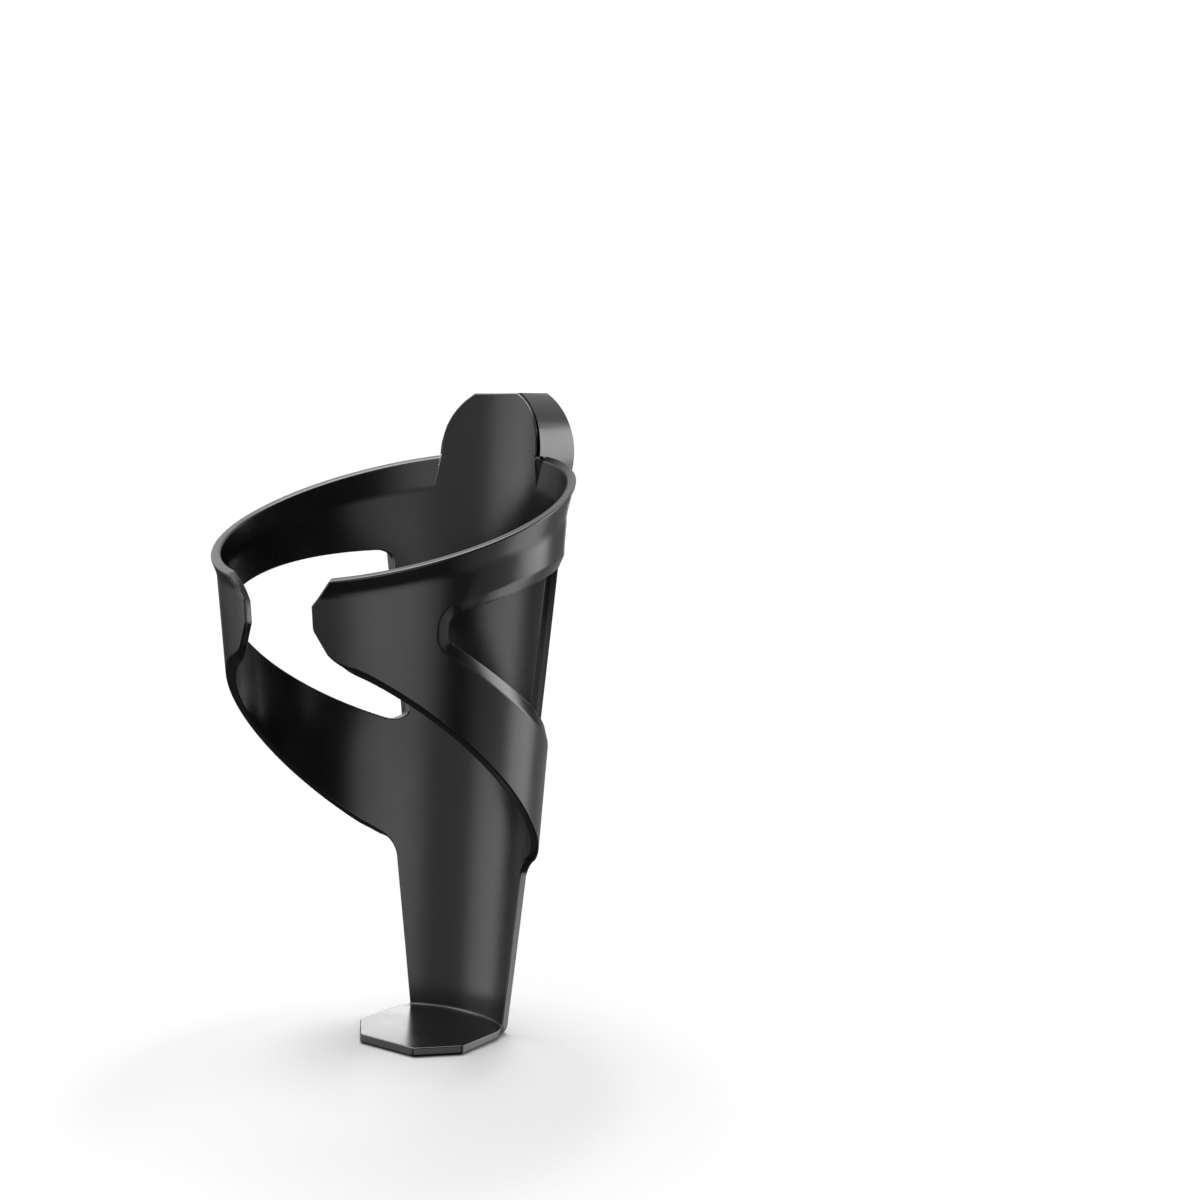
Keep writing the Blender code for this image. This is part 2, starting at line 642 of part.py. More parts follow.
def main():
    """Build the cage in an emptied scene."""
    for item in list(bpy.data.objects):
        bpy.data.objects.remove(item)
    parts = bpy.data.collections.new("water_bottle_cage")
    bpy.context.scene.collection.children.link(parts)
    centre = bpy.data.objects.new("cage_centre", None)
    parts.objects.link(centre)
    centre.location = (0, -BLOCK_BACK, -BLOCK_MIDDLE)
    cutters = Cutters(centre)
    finish([build_body(parts, cutters, centre)], "satin_black", (0.012, 0.012, 0.013), 0.38, 0)
    finish([build_block(parts, cutters, centre)], "satin_black", (0.014, 0.014, 0.015), 0.40, 0)
    finish(build_inserts(parts, centre), "brass", (0.72, 0.52, 0.24), 0.32, 1)
    finish(build_screws(parts, cutters, centre), "black_steel", (0.03, 0.03, 0.033), 0.35, 1)


main()
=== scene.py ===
"""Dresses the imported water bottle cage: fine pieces, finishes, studio and camera."""
import logging
from collections.abc import Callable, Iterable, Iterator
from contextlib import contextmanager
from dataclasses import dataclass, field
from enum import Enum
from functools import cached_property
from math import acos, asin, atan2, cos, hypot, pi, radians, sin, sqrt, tan

import bmesh
import bpy
from mathutils import Matrix, Vector


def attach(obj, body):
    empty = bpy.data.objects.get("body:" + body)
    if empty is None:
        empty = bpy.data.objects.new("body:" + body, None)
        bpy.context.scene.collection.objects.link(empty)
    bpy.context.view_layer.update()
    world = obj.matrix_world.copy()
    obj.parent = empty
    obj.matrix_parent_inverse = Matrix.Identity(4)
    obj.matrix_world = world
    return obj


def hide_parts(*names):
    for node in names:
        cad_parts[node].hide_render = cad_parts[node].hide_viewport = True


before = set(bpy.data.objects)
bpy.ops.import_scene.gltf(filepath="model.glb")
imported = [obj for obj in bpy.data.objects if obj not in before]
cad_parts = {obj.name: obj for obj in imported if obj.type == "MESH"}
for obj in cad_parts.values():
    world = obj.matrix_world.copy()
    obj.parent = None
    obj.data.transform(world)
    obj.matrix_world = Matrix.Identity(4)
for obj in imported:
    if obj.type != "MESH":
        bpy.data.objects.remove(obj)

LOG = logging.getLogger("water_bottle_cage")
MM = 0.001
# Places closer than this count as the same place.
TINY = 0.01 * MM
# Faces that meet at more than this angle make a crisp edge.
CRISP = radians(50)
# Rounds in which a value that is found step by step settles.
ROUNDS = 60
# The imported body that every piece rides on.
BODY = "root"
# Where the bottle axis meets the floor.
CENTRE = (0.0, -55.3502 * MM, -149.6227 * MM)

Pair = tuple[float, float]
Triple = tuple[float, float, float]
Piece = bpy.types.Object
Material = bpy.types.Material
Tree = bpy.types.NodeTree
Node = bpy.types.Node
Socket = bpy.types.NodeSocket
Edge = bmesh.types.BMEdge
Face = bmesh.types.BMFace
EdgeTest = Callable[[Edge], bool]


def add_node(tree: Tree, kind: str, **values: float) -> Node:
    """Adds a shader node.

    Args:
        tree: The node tree.
        kind: Type of the node, without the word ShaderNode.
        values: Values for its inputs, named in small letters with _ for a space.

    Returns:
        The node.
    """
    node = tree.nodes.new(f"ShaderNode{kind}")
    for name, value in values.items():
        node.inputs[name.replace("_", " ").title()].default_value = value
    return node


def new_material(name: str) -> tuple[Material, Tree, Node]:
    """Makes a node material.

    Args:
        name: Name of the material.

    Returns:
        The material, its node tree and its shader.
    """
    material = bpy.data.materials.new(name)
    material.use_nodes = True
    return material, material.node_tree, material.node_tree.nodes["Principled BSDF"]


def vary_gloss(tree: Tree, shader: Node, pattern: Socket, roughness: Pair, span: Pair = (0.0, 1.0)) -> None:
    """Lets a pattern set the shader's roughness.

    Args:
        tree: The material's node tree.
        shader: Its shader.
        pattern: The pattern.
        roughness: Lowest and highest roughness.
        span: Values of the pattern at which these are reached.
    """
    (start, end), (low, high) = span, roughness
    gloss = add_node(tree, "MapRange", from_min=start, from_max=end, to_min=low, to_max=high)
    tree.links.new(pattern, gloss.inputs["Value"])
    tree.links.new(gloss.outputs["Result"], shader.inputs["Roughness"])


def emboss(tree: Tree, shader: Node, pattern: Socket, strength: float, depth: float) -> None:
    """Lets a pattern raise a fine grain.

    Args:
        tree: The material's node tree.
        shader: Its shader.
        pattern: The pattern.
        strength: Strength of the bump.
        depth: Height of the grain.
    """
    bump = add_node(tree, "Bump", strength=strength, distance=depth)
    tree.links.new(pattern, bump.inputs["Height"])
    tree.links.new(bump.outputs["Normal"], shader.inputs["Normal"])


@dataclass(frozen=True)
class MouldedPlastic:
    """Satin moulded plastic: one colour with a fine eroded grain and a slow change of gloss.

    Attributes:
        name: Name of the material.
        colour: Linear base colour.
        roughness: Roughness of the glossiest and of the dullest patches.
        cloud_scale: Fineness of the patches.
        cloud_span: Values of the patches at which the gloss stops changing.
        tint: Share by which the colour changes either way.
        grain: Bump strength of the grain.
        grain_scale: Fineness of the grain.
        grain_depth: Height of the grain.
        refraction: Index of refraction.
    """

    name: str
    colour: Triple
    roughness: Pair
    cloud_scale: float = 90
    cloud_span: Pair = (0.3, 0.7)
    tint: float = 0.15
    grain: float = 0.08
    grain_scale: float = 2600
    grain_depth: float = 0.02 * MM
    refraction: float = 1.5

    def material(self) -> Material:
        """Builds the node material.

        Returns:
            The new material.
        """
        material, tree, shader = new_material(self.name)
        shader.inputs["IOR"].default_value = self.refraction
        place = add_node(tree, "TexCoord").outputs["Object"]
        cloud = add_node(tree, "TexNoise", scale=self.cloud_scale, detail=3)
        grain = add_node(tree, "TexNoise", scale=self.grain_scale, detail=2)
        for noise in (cloud, grain):
            tree.links.new(place, noise.inputs["Vector"])
        ramp = add_node(tree, "ValToRGB")
        for stop, share in zip(ramp.color_ramp.elements, (1 - self.tint, 1 + self.tint)):
            stop.color = (*(share * part for part in self.colour), 1)
        tree.links.new(cloud.outputs["Fac"], ramp.inputs["Fac"])
        tree.links.new(ramp.outputs["Color"], shader.inputs["Base Color"])
        vary_gloss(tree, shader, cloud.outputs["Fac"], self.roughness, self.cloud_span)
        emboss(tree, shader, grain.outputs["Fac"], self.grain, self.grain_depth)
        return material


@dataclass(frozen=True)
class TurnedMetal:
    """Metal turned on a lathe, with fine tool marks across the Y direction.

    Attributes:
        name: Name of the material.
        colour: Linear base colour.
        roughness: Roughness of the polished and of the dull marks.
        mark_scale: Fineness of the marks.
        mark_waver: How far the marks waver.
        marks: Bump strength of the marks.
        mark_depth: Height of the marks.
    """

    name: str
    colour: Triple
    roughness: Pair
    mark_scale: float = 2200
    mark_waver: float = 1.5
    marks: float = 0.2
    mark_depth: float = 0.01 * MM

    def material(self) -> Material:
        """Builds the node material.

        Returns:
            The new material.
        """
        material, tree, shader = new_material(self.name)
        shader.inputs["Metallic"].default_value = 1
        shader.inputs["Base Color"].default_value = (*self.colour, 1)
        wave = add_node(tree, "TexWave", scale=self.mark_scale, distortion=self.mark_waver)
        wave.wave_type = "BANDS"
        wave.bands_direction = "Y"
        tree.links.new(add_node(tree, "TexCoord").outputs["Object"], wave.inputs["Vector"])
        vary_gloss(tree, shader, wave.outputs["Fac"], self.roughness)
        emboss(tree, shader, wave.outputs["Fac"], self.marks, self.mark_depth)
        return material


def focus(piece: Piece) -> None:
    """Makes one piece the only selected and active object.

    Args:
        piece: The piece.
    """
    bpy.ops.object.select_all(action="DESELECT")
    piece.select_set(True)
    bpy.context.view_layer.objects.active = piece


@contextmanager
def edit_mode(piece: Piece) -> Iterator[None]:
    """Opens a piece in edit mode for the lines that follow.

    Args:
        piece: The piece.

    Yields:
        Nothing.
    """
    focus(piece)
    bpy.ops.object.mode_set(mode="EDIT")
    yield
    bpy.ops.object.mode_set(mode="OBJECT")


class Element(Enum):
    """Kind of mesh element that is selected."""

    EDGE = "EDGE"
    FACE = "FACE"


def select_where(piece: Piece, kind: Element, chosen: Callable[[Edge | Face], bool]) -> int:
    """Selects the edges or faces that a test picks, in edit mode.

    Args:
        piece: The piece.
        kind: Whether edges or faces are selected.
        chosen: Test that picks an edge or a face.

    Returns:
        The number that were picked.
    """
    bpy.ops.mesh.select_mode(type=kind.value)
    bpy.ops.mesh.select_all(action="DESELECT")
    edit = bmesh.from_edit_mesh(piece.data)
    edit.normal_update()
    picked = [part for part in (edit.edges if kind is Element.EDGE else edit.faces) if chosen(part)]
    for part in picked:
        part.select_set(True)
    bmesh.update_edit_mesh(piece.data)
    return len(picked)


def tidy(piece: Piece, distance: float = 0.002 * MM) -> None:
    """Merges doubled points of a piece and turns its faces outward.

    Args:
        piece: The piece.
        distance: Points closer than this become one.
    """
    with edit_mode(piece):
        bpy.ops.mesh.select_all(action="SELECT")
        bpy.ops.mesh.remove_doubles(threshold=distance)
        bpy.ops.mesh.normals_make_consistent(inside=False)


def flat_piece(name: str, levels: list[list[Triple]]) -> Piece:
    """Models a solid as a filled circle whose outline is moved into shape and extruded level by level.

    Args:
        name: Name of the new object.
        levels: The outline's points at each level, all levels of the same length.

    Returns:
        The object, with a closed mesh.
    """
    count = len(levels[0])
    bpy.ops.object.select_all(action="DESELECT")
    bpy.ops.mesh.primitive_circle_add(vertices=count, radius=1, fill_type="NGON")
    piece = bpy.context.active_object
    piece.name = piece.data.name = name
    verts, line = piece.data.vertices, list(range(count))
    for step, level in enumerate(levels):
        if step:
            with edit_mode(piece):
                bpy.ops.mesh.extrude_region_move(TRANSFORM_OT_translate={"value": (0, 0, MM)})
            verts, grown = piece.data.vertices, {}
            for first, second in (edge.vertices for edge in piece.data.edges):
                if verts[first].select != verts[second].select:
                    grown.update({second: first} if verts[first].select else {first: second})
            line = [grown[index] for index in line]
        for index, point in zip(line, level):
            verts[index].co = point
    tidy(piece)
    return piece


class Keep(Enum):
    """What a piece keeps when another is combined with it."""

    OUTSIDE = "DIFFERENCE"
    SHARED = "INTERSECT"


class Solver(Enum):
    """Way in which two solids are combined."""

    EXACT = "EXACT"
    MANIFOLD = "MANIFOLD"


def combine(piece: Piece, other: Piece, keep: Keep = Keep.OUTSIDE, solver: Solver = Solver.MANIFOLD) -> None:
    """Cuts another object away from a piece, or keeps what both share, and deletes the other.

    Args:
        piece: The piece that stays.
        other: The other object.
        keep: What the piece keeps.
        solver: The way in which the two are combined.
    """
    focus(piece)
    modifier = piece.modifiers.new(other.name, "BOOLEAN")
    modifier.operation = keep.value
    modifier.object = other
    modifier.solver = solver.value
    bpy.ops.object.modifier_apply(modifier=modifier.name)
    bpy.data.objects.remove(other)


def round_where(piece: Piece, what: str, chosen: EdgeTest, width: float, segments: int = 3) -> None:
    """Rounds the edges of a piece that a test picks.

    Args:
        piece: The piece.
        what: Words for these edges in the log.
        chosen: Test that picks an edge.
        width: Width of the rounding on each face.
        segments: Faces across the rounding.
    """
    with edit_mode(piece):
        count = select_where(piece, Element.EDGE, lambda edge: len(edge.link_faces) == 2 and chosen(edge))
        if count:
            bpy.ops.mesh.bevel(offset=width, segments=segments, profile=0.5, clamp_overlap=False)
    LOG.info("%s: rounded %d %s", piece.name, count, what)


def split_by(piece: Piece, planes: Iterable[tuple[Triple, Triple]]) -> None:
    """Bisects all faces of a piece along planes, keeping both sides.

    Args:
        piece: The piece.
        planes: A point and a normal for each plane.
    """
    with edit_mode(piece):
        for point, normal in planes:
            bpy.ops.mesh.select_all(action="SELECT")
            bpy.ops.mesh.bisect(plane_co=point, plane_no=normal, threshold=0.1 * TINY)


def shade(piece: Piece, angle: float) -> None:
    """Smooths a piece up to an angle and lets its broad faces set the normals.

    Args:
        piece: The piece.
        angle: Faces that meet at more than this many degrees stay sharp.
    """
    focus(piece)
    bpy.ops.object.shade_smooth_by_angle(angle=radians(angle))
    modifier = piece.modifiers.new("broad_faces", "WEIGHTED_NORMAL")
    modifier.mode = "FACE_AREA"
    modifier.weight = 80
    modifier.keep_sharp = True
    bpy.ops.object.modifier_apply(modifier=modifier.name)


def fit_out(piece: Piece, material: Material, slot: str, *nodes: str) -> None:
    """Gives a finished piece its material and puts it in the place of its CAD nodes.

    Args:
        piece: The finished piece.
        material: Its material.
        slot: The record's material slot; not used.
        nodes: The CAD nodes that it stands for.
    """
    piece.data.materials.clear()
    piece.data.materials.append(material)
    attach(piece, BODY)
    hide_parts(*nodes)


def spread(first: float, last: float, count: int) -> list[float]:
    """Evenly spaced values from first to last, both ends included."""
    return [first + (last - first) * step / (count - 1) for step in range(count)]


def share_of(value: float, start: float, end: float) -> float:
    """How far a value lies on the way from start to end, from 0 to 1."""
    return min(max((value - start) / (end - start), 0), 1)


def settle(value: float, better: Callable[[float], float]) -> float:
    """Improves a value by a rule until it settles.

    Args:
        value: The first guess.
        better: The rule, which gives a better value for a value.

    Returns:
        The settled value.
    """
    for _ in range(ROUNDS):
        value = better(value)
    return value


def round_corner(before: Pair, corner: Pair, after: Pair, radius: float, count: int) -> list[Pair]:
    """Rounds one corner of a flat outline.

    Args:
        before: The outline's point before the corner.
        corner: The sharp corner.
        after: The outline's point after the corner.
        radius: Radius of the arc.
        count: Number of points on the arc.

    Returns:
        The arc's points in order.
    """
    tip = Vector(corner)
    back = (Vector(before) - tip).normalized()
    ahead = (Vector(after) - tip).normalized()
    half = back.angle(ahead) / 2
    centre = tip + (back + ahead).normalized() * radius / sin(half)
    start = tip + back * radius / tan(half) - centre
    end = tip + ahead * radius / tan(half) - centre
    sweep = atan2(start.x * end.y - start.y * end.x, start.dot(end))
    turned = [centre + Matrix.Rotation(sweep * share, 2) @ start for share in spread(0, 1, count)]
    return [(point.x, point.y) for point in turned]


@dataclass(frozen=True)
class SideCut:
    """A cut through the body, seen from the side.

    Attributes:
        height: Height on the bottle axis.
        slope: Rise towards the mount.
        bend_radius: Radius of its bend, or 0 for a straight cut.
    """

    height: float
    slope: float
    bend_radius: float = 0.0

    def at(self, y: float) -> float:
        """Height of the cut at a distance y behind the bottle axis."""
        bend = y * y / (2 * self.bend_radius) if self.bend_radius else 0.0
        return self.height + self.slope * y + bend


@dataclass(frozen=True)
class BodyCone:
    """The cone that the body's wall lies on.

    Attributes:
        wall: Thickness of the wall.
        floor_radius: Outside radius at the floor.
        taper: Growth of the radius with height.
    """

    wall: float = 2.5 * MM
    floor_radius: float = 33.1 * MM
    taper: float = tan(radians(4.3))

    def inner(self, z: float) -> float:
        """Inside radius at a height."""
        return self.floor_radius - self.wall + self.taper * z

    def height_on(self, cut: SideCut, bearing: float, widen: float = 0.0) -> float:
        """Height at which a side cut meets a cone that lies outside the inner face by widen, at a bearing."""
        return settle(cut.height, lambda z: cut.at((self.inner(z) + widen) * cos(bearing)))

    def back_bearing(self, x: float, z: float, widen: float = 0.0) -> float:
        """Angle from the mount side of a point x off the middle."""
        return asin(x / (self.inner(z) + widen))

    def side_bearing(self, y: float, z: float, widen: float = 0.0) -> float:
        """Angle from the mount side of a point y behind the bottle axis."""
        return acos(y / (self.inner(z) + widen))


@dataclass(frozen=True)
class EdgePoint:
    """A point on the edge of the flat pattern.

    Attributes:
        bearing: Angle from the mount side, on the inner face.
        height: Height on the inner face.
        turn: Extra angle of the outer corner.
        lift: Extra height of the outer corner.
    """

    bearing: float
    height: float
    turn: float = 0.0
    lift: float = 0.0


@dataclass
class CageBody:
    """The moulded body: foot, stem, two arms with windows, flared rim and tongue.

    One half is modelled as a flat plate with rounded edges, rolled onto the cone, flared and mirrored.
    Heights are above the floor. The flat plate has bearings across, heights up and the wall's depth out.

    Attributes:
        name: Name of the piece.
        cone: The cone that the wall lies on.
        rim: Top cut of the arms.
        crease: Where the rim starts to flare.
        arm_edge: Lower cut of the arms.
        flare_width: How far the rim leans out.
        crease_softness: Height of the crease's round on each side.
        tongue_top: Height of the tongue's end.
        tongue_half_width: Half the tongue's width, and the radius of its end.
        tongue_root: Half the tongue's width at the slit's floor.
        tongue_shoulder: Height at which the tongue starts to widen towards its root.
        tongue_flat: Half the width of the flat on the tongue's end.
        slit_width: Width of the slit beside the tongue.
        slit_rise: How far above the rim the slit's line runs.
        slit_reach: Distance from the slit within which its edges stay crisp.
        gap_half_width: Half the gap between the arms' tips.
        tip_top: Height of the tip's upper corner.
        tip_bottom: Height of the tip's lower corner.
        tip_top_chamfer: Chamfer between the rim and the tip.
        tip_bottom_chamfer: Chamfer below the tip.
        tip_corner: Radius of the tip's lower corner.
        tip_heel: Radius between the lower chamfer and the lower cut.
        window_top: Top cut of the windows.
        window_bottom: Lower cut of the windows.
        window_front: Place of the windows' front end behind the bottle axis.
        window_back: Place of their back end.
        window_draft: How far the back end leans back on its way out.
        draft_zone: How far ahead of the back end that lean starts, and how far ahead it is full.
        window_front_corner: Radius of the front corners.
        window_back_corner: Radius of the back corners.
        bevel_width: Width of the bevel round the windows.
        bevel_depth: Depth of that bevel.
        bevel_softness: Rounding of the bevel's outer edge.
        sill_softness: Rounding of the bevel's inner edge.
        stem_half_width: Half the stem's width at the floor.
        stem_spread: Growth of that width with height.
        stem_fillet: Radius between the stem and the arms.
        foot_thickness: Thickness of the foot.
        foot_half_width: Half the foot's width.
        foot_front: Place of the foot's front edge behind the bottle axis.
        foot_front_half_width: Half the width of the front edge.
        foot_chamfer: Depth of the chamfers beside the front edge.
        foot_corner: Radius of the foot's corners, seen from above.
        foot_low_round: Radius of the lower edge.
        foot_high_round: Radius of the upper edge.
        foot_neck: How far ahead of the stem the foot has its full width.
        foot_fillet: Round between the foot's top and the stem.
        foot_bend: Radius under the stem.
        edge_radius: Rounding of all other edges.
        pattern_radius: Radius for which the flat plate has its true width.
        column: Angle between the plate's columns.
        arc_points: Points on an arc of the plate's edge.
        run_points: Points along the top and the bottom of a window.
        back_points: Points on a window's back corner.
        front_points: Points on a window's front corner.
        stem_rows: Points along the stem's side.
        crease_rows: Number of cuts across the crease.
        bend_rows: Heights of the cuts across the bend under the stem, as shares of its radius.
        foot_rows: Depths of the cuts below the foot's top.
    """

    name: str = "fine_cage_body"
    cone: BodyCone = field(default_factory=BodyCone)
    rim: SideCut = SideCut(135.6 * MM, tan(radians(17.67)))
    crease: SideCut = SideCut(129.9 * MM, tan(radians(15.0)))
    arm_edge: SideCut = SideCut(70.9 * MM, -tan(radians(41.67)))
    flare_width: float = 1.2 * MM
    crease_softness: float = 1.0 * MM
    tongue_top: float = 164.931 * MM
    tongue_half_width: float = 15.2 * MM
    tongue_root: float = 16.4 * MM
    tongue_shoulder: float = 150.431 * MM
    tongue_flat: float = 6.6 * MM
    slit_width: float = 0.06 * MM
    slit_rise: float = 0.8 * MM
    slit_reach: float = 2.2 * MM
    gap_half_width: float = 10.5 * MM
    tip_top: float = 116.769 * MM
    tip_bottom: float = 111.269 * MM
    tip_top_chamfer: float = 4.1 * MM
    tip_bottom_chamfer: float = 4.8 * MM
    tip_corner: float = 3.0 * MM
    tip_heel: float = 12.0 * MM
    window_top: SideCut = SideCut(120.0 * MM, tan(radians(11.9)), -200 * MM)
    window_bottom: SideCut = SideCut(95.1 * MM, -tan(radians(31.8)), 227 * MM)
    window_front: float = -20.8 * MM
    window_back: float = 31.3 * MM
    window_draft: float = 0.5 * MM
    draft_zone: Pair = (9 * MM, 2 * MM)
    window_front_corner: float = 2.3 * MM
    window_back_corner: float = 2.7 * MM
    bevel_width: float = 2.9 * MM
    bevel_depth: float = 1.1 * MM
    bevel_softness: float = 0.35 * MM
    sill_softness: float = 0.12 * MM
    stem_half_width: float = 15.1 * MM
    stem_spread: float = tan(radians(7.1))
    stem_fillet: float = 9.0 * MM
    foot_thickness: float = 2.6 * MM
    foot_half_width: float = 17.0 * MM
    foot_front: float = -1.35 * MM
    foot_front_half_width: float = 8.8 * MM
    foot_chamfer: float = 9.4 * MM
    foot_corner: float = 1.2 * MM
    foot_low_round: float = 0.9 * MM
    foot_high_round: float = 0.4 * MM
    foot_neck: float = 4.0 * MM
    foot_fillet: float = 0.6 * MM
    foot_bend: float = 2.2 * MM
    edge_radius: float = 0.5 * MM
    pattern_radius: float = 40 * MM
    column: float = radians(1.5)
    arc_points: int = 13
    run_points: int = 40
    back_points: int = 9
    front_points: int = 6
    stem_rows: int = 9
    crease_rows: int = 9
    bend_rows: tuple[float, ...] = (0.02, 0.08, 0.18, 0.31, 0.47, 0.65, 0.83, 1.0)
    foot_rows: tuple[float, ...] = (0.0, 0.03 * MM, 0.12 * MM, 0.25 * MM)

    def build(self, material: Material) -> Piece:
        """Models, shades and fits out the body.

        Args:
            material: Finish of the body.

        Returns:
            The finished piece.
        """
        plate = self.plate()
        combine(plate, flat_piece("window_plug", self.window_levels()), solver=Solver.EXACT)
        tidy(plate)
        self.round_edges(plate)
        self.split_columns(plate)
        self.roll(plate)
        self.flare(plate)
        self.mirror(plate)
        self.draw_foot(plate)
        self.soften_foot(plate)
        tidy(plate)
        plate.data.transform(Matrix.Translation(CENTRE))
        shade(plate, 40)
        fit_out(plate, material, "body", "cage_body")
        return plate

    def across(self, bearing: float) -> float:
        """Distance across the flat plate of a bearing."""
        return bearing * self.pattern_radius

    def cut_by(self, cut: SideCut, bearing: float, flare: float = 0.0) -> EdgePoint:
        """Places an edge point on a slanted cut through the wall.

        Args:
            cut: The cut.
            bearing: Angle from the mount side.
            flare: How far the wall leans out there.

        Returns:
            The edge point.
        """
        z = self.cone.height_on(cut, bearing, flare)
        top = self.cone.height_on(cut, bearing, flare + self.cone.wall)
        return EdgePoint(bearing, z, lift=top - z)

    def cut_from_back(self, x: float, z: float) -> EdgePoint:
        """An edge point at x off the middle, cut straight through from behind."""
        bearing = self.cone.back_bearing(x, z)
        return EdgePoint(bearing, z, turn=self.cone.back_bearing(x, z, self.cone.wall) - bearing)

    def cut_from_front(self, x: float, z: float) -> EdgePoint:
        """An edge point at x off the middle, cut straight through from the front."""
        point = self.cut_from_back(x, z)
        return EdgePoint(pi - point.bearing, z, turn=-point.turn)

    def columns(self, first: float, last: float) -> list[float]:
        """Lists two end bearings with the columns that lie clear between them.

        Args:
            first: First bearing.
            last: Last bearing.

        Returns:
            The bearings in order.
        """
        margin = 0.3 * self.column
        low, high = min(first, last) + margin, max(first, last) - margin
        every = [step * self.column for step in range(int(pi / self.column) + 1)]
        between = [bearing for bearing in every if low < bearing < high]
        return [first] + (between if first < last else between[::-1]) + [last]

    def rolled_corner(
        self, before: EdgePoint, corner: EdgePoint, after: EdgePoint, radius: float
    ) -> list[Triple]:
        """Rounds one corner of the outline on the cone.

        Args:
            before: Edge point before the corner.
            corner: The corner.
            after: Edge point after the corner.
            radius: Radius of the arc.

        Returns:
            Bearing, height and share of the way along, for each point of the arc.
        """
        size = self.cone.inner(corner.height)
        flat = [(point.bearing * size, point.height) for point in (before, corner, after)]
        arc = round_corner(*flat, radius, self.arc_points)
        return [(along / size, z, step / (self.arc_points - 1)) for step, (along, z) in enumerate(arc)]

    @cached_property
    def slit_bearing(self) -> float:
        """Finds where the slit beside the tongue ends.

        Returns:
            The bearing.
        """

        def better(bearing: float) -> float:
            """Bearing of the tongue's root at the height of the crease at a bearing."""
            z = self.cone.height_on(self.crease, bearing, self.cone.wall)
            return self.cone.back_bearing(self.tongue_root, z)

        return settle(self.cone.back_bearing(self.tongue_root, self.crease.height), better)

    @cached_property
    def slit_floor(self) -> float:
        """Height at which the slit beside the tongue ends."""
        return self.cone.height_on(self.crease, self.slit_bearing, self.cone.wall)

    @cached_property
    def slit_top(self) -> float:
        """Height at which the tongue comes clear of the rim beside it."""
        return self.cone.height_on(self.rim, self.slit_bearing, self.cone.wall) + self.slit_rise

    def tongue_side(self, z: float) -> float:
        """Half the tongue's width at a height beside the slit."""
        rise = (z - self.slit_floor) / (self.tongue_shoulder - self.slit_floor)
        return self.tongue_root + rise * (self.tongue_half_width - self.tongue_root)

    def slit_middle(self, z: float) -> float:
        """Finds the middle of the slit, carried on straight above and below it.

        Args:
            z: Height.

        Returns:
            The bearing.
        """
        root = self.cone.back_bearing(self.tongue_root, self.slit_floor)
        top = self.cone.back_bearing(self.tongue_side(self.slit_top), self.slit_top)
        bearing = root + share_of(z, self.slit_floor, self.slit_top) * (top - root)
        return bearing + 0.5 * self.slit_width / self.cone.inner(z)

    def tongue_edge(self) -> list[EdgePoint]:
        """Draws the edge of the tongue from its middle down into the slit, cut straight through from behind.

        Returns:
            The edge points in order.
        """
        half, top = self.tongue_half_width, self.tongue_top
        first = acos(self.tongue_flat / half)
        middle = top - half * sin(first)
        flat = self.columns(0, self.cone.back_bearing(self.tongue_flat, top))[:-1]
        outline = [(self.cone.inner(top) * sin(bearing), top) for bearing in flat]
        turns = spread(first, 0, self.arc_points)
        outline += [(half * cos(turn), middle + half * sin(turn)) for turn in turns]
        outline += [(half, self.tongue_shoulder), (self.tongue_side(self.slit_top), self.slit_top)]
        outline.append((self.tongue_root, self.slit_floor))
        return [self.cut_from_back(x, z) for x, z in outline]

    def rim_edge(self) -> list[EdgePoint]:
        """Draws the edge of the arm from the slit's floor along the rim to the tip.

        Returns:
            The edge points in order.
        """
        floor = self.slit_floor
        level = self.cone.height_on(self.rim, self.slit_bearing, self.cone.wall)
        start = self.cone.back_bearing(self.tongue_side(level) + self.slit_width, level)
        tip_x, tip_z = self.gap_half_width + self.tip_top_chamfer, self.tip_top + self.tip_top_chamfer
        end = self.cut_from_front(tip_x, tip_z).bearing
        points = [EdgePoint(self.slit_bearing + self.slit_width / self.cone.inner(floor), floor)]
        bearings = self.columns(start, end)
        return points + [self.cut_by(self.rim, bearing, self.flare_width) for bearing in bearings]

    def lower_edge(self) -> list[EdgePoint]:
        """Draws the edge of the arm from its tip along the lower cut, and down the stem to the floor.

        Returns:
            The edge points in order.
        """
        top, tip = (self.cut_from_front(self.gap_half_width, z) for z in (self.tip_top, self.tip_bottom))
        heel_x, heel_z = self.gap_half_width + self.tip_bottom_chamfer, tip.height - self.tip_bottom_chamfer
        heel = self.cut_by(self.arm_edge, self.cut_from_front(heel_x, heel_z).bearing)
        root_z = self.stem_root
        root = EdgePoint(self.cone.back_bearing(self.stem_width(root_z), root_z), root_z)
        start = heel.bearing - 0.5 * self.tip_heel / self.cone.inner(heel.height)
        end = root.bearing + self.stem_fillet / self.cone.inner(root.height)
        edge = [self.cut_by(self.arm_edge, bearing) for bearing in self.columns(start, end)]
        points = [top]
        for bearing, z, _ in self.rolled_corner(top, tip, heel, self.tip_corner):
            points.append(EdgePoint(bearing, z, turn=tip.turn))
        for bearing, z, share in self.rolled_corner(tip, heel, edge[0], self.tip_heel):
            points.append(EdgePoint(bearing, z, turn=(1 - share) * tip.turn, lift=share * edge[0].lift))
        points += edge
        foot = self.cut_from_back(self.stem_width(0), 0)
        for bearing, z, share in self.rolled_corner(edge[-1], root, foot, self.stem_fillet):
            square = self.cut_from_back(self.cone.inner(z) * sin(bearing), z)
            points.append(EdgePoint(bearing, z, turn=share * square.turn, lift=(1 - share) * edge[-1].lift))
        for z in spread(points[-1].height, 0, self.stem_rows)[1:]:
            points.append(self.cut_from_back(self.stem_width(z), z))
        return points + [EdgePoint(0, 0)]

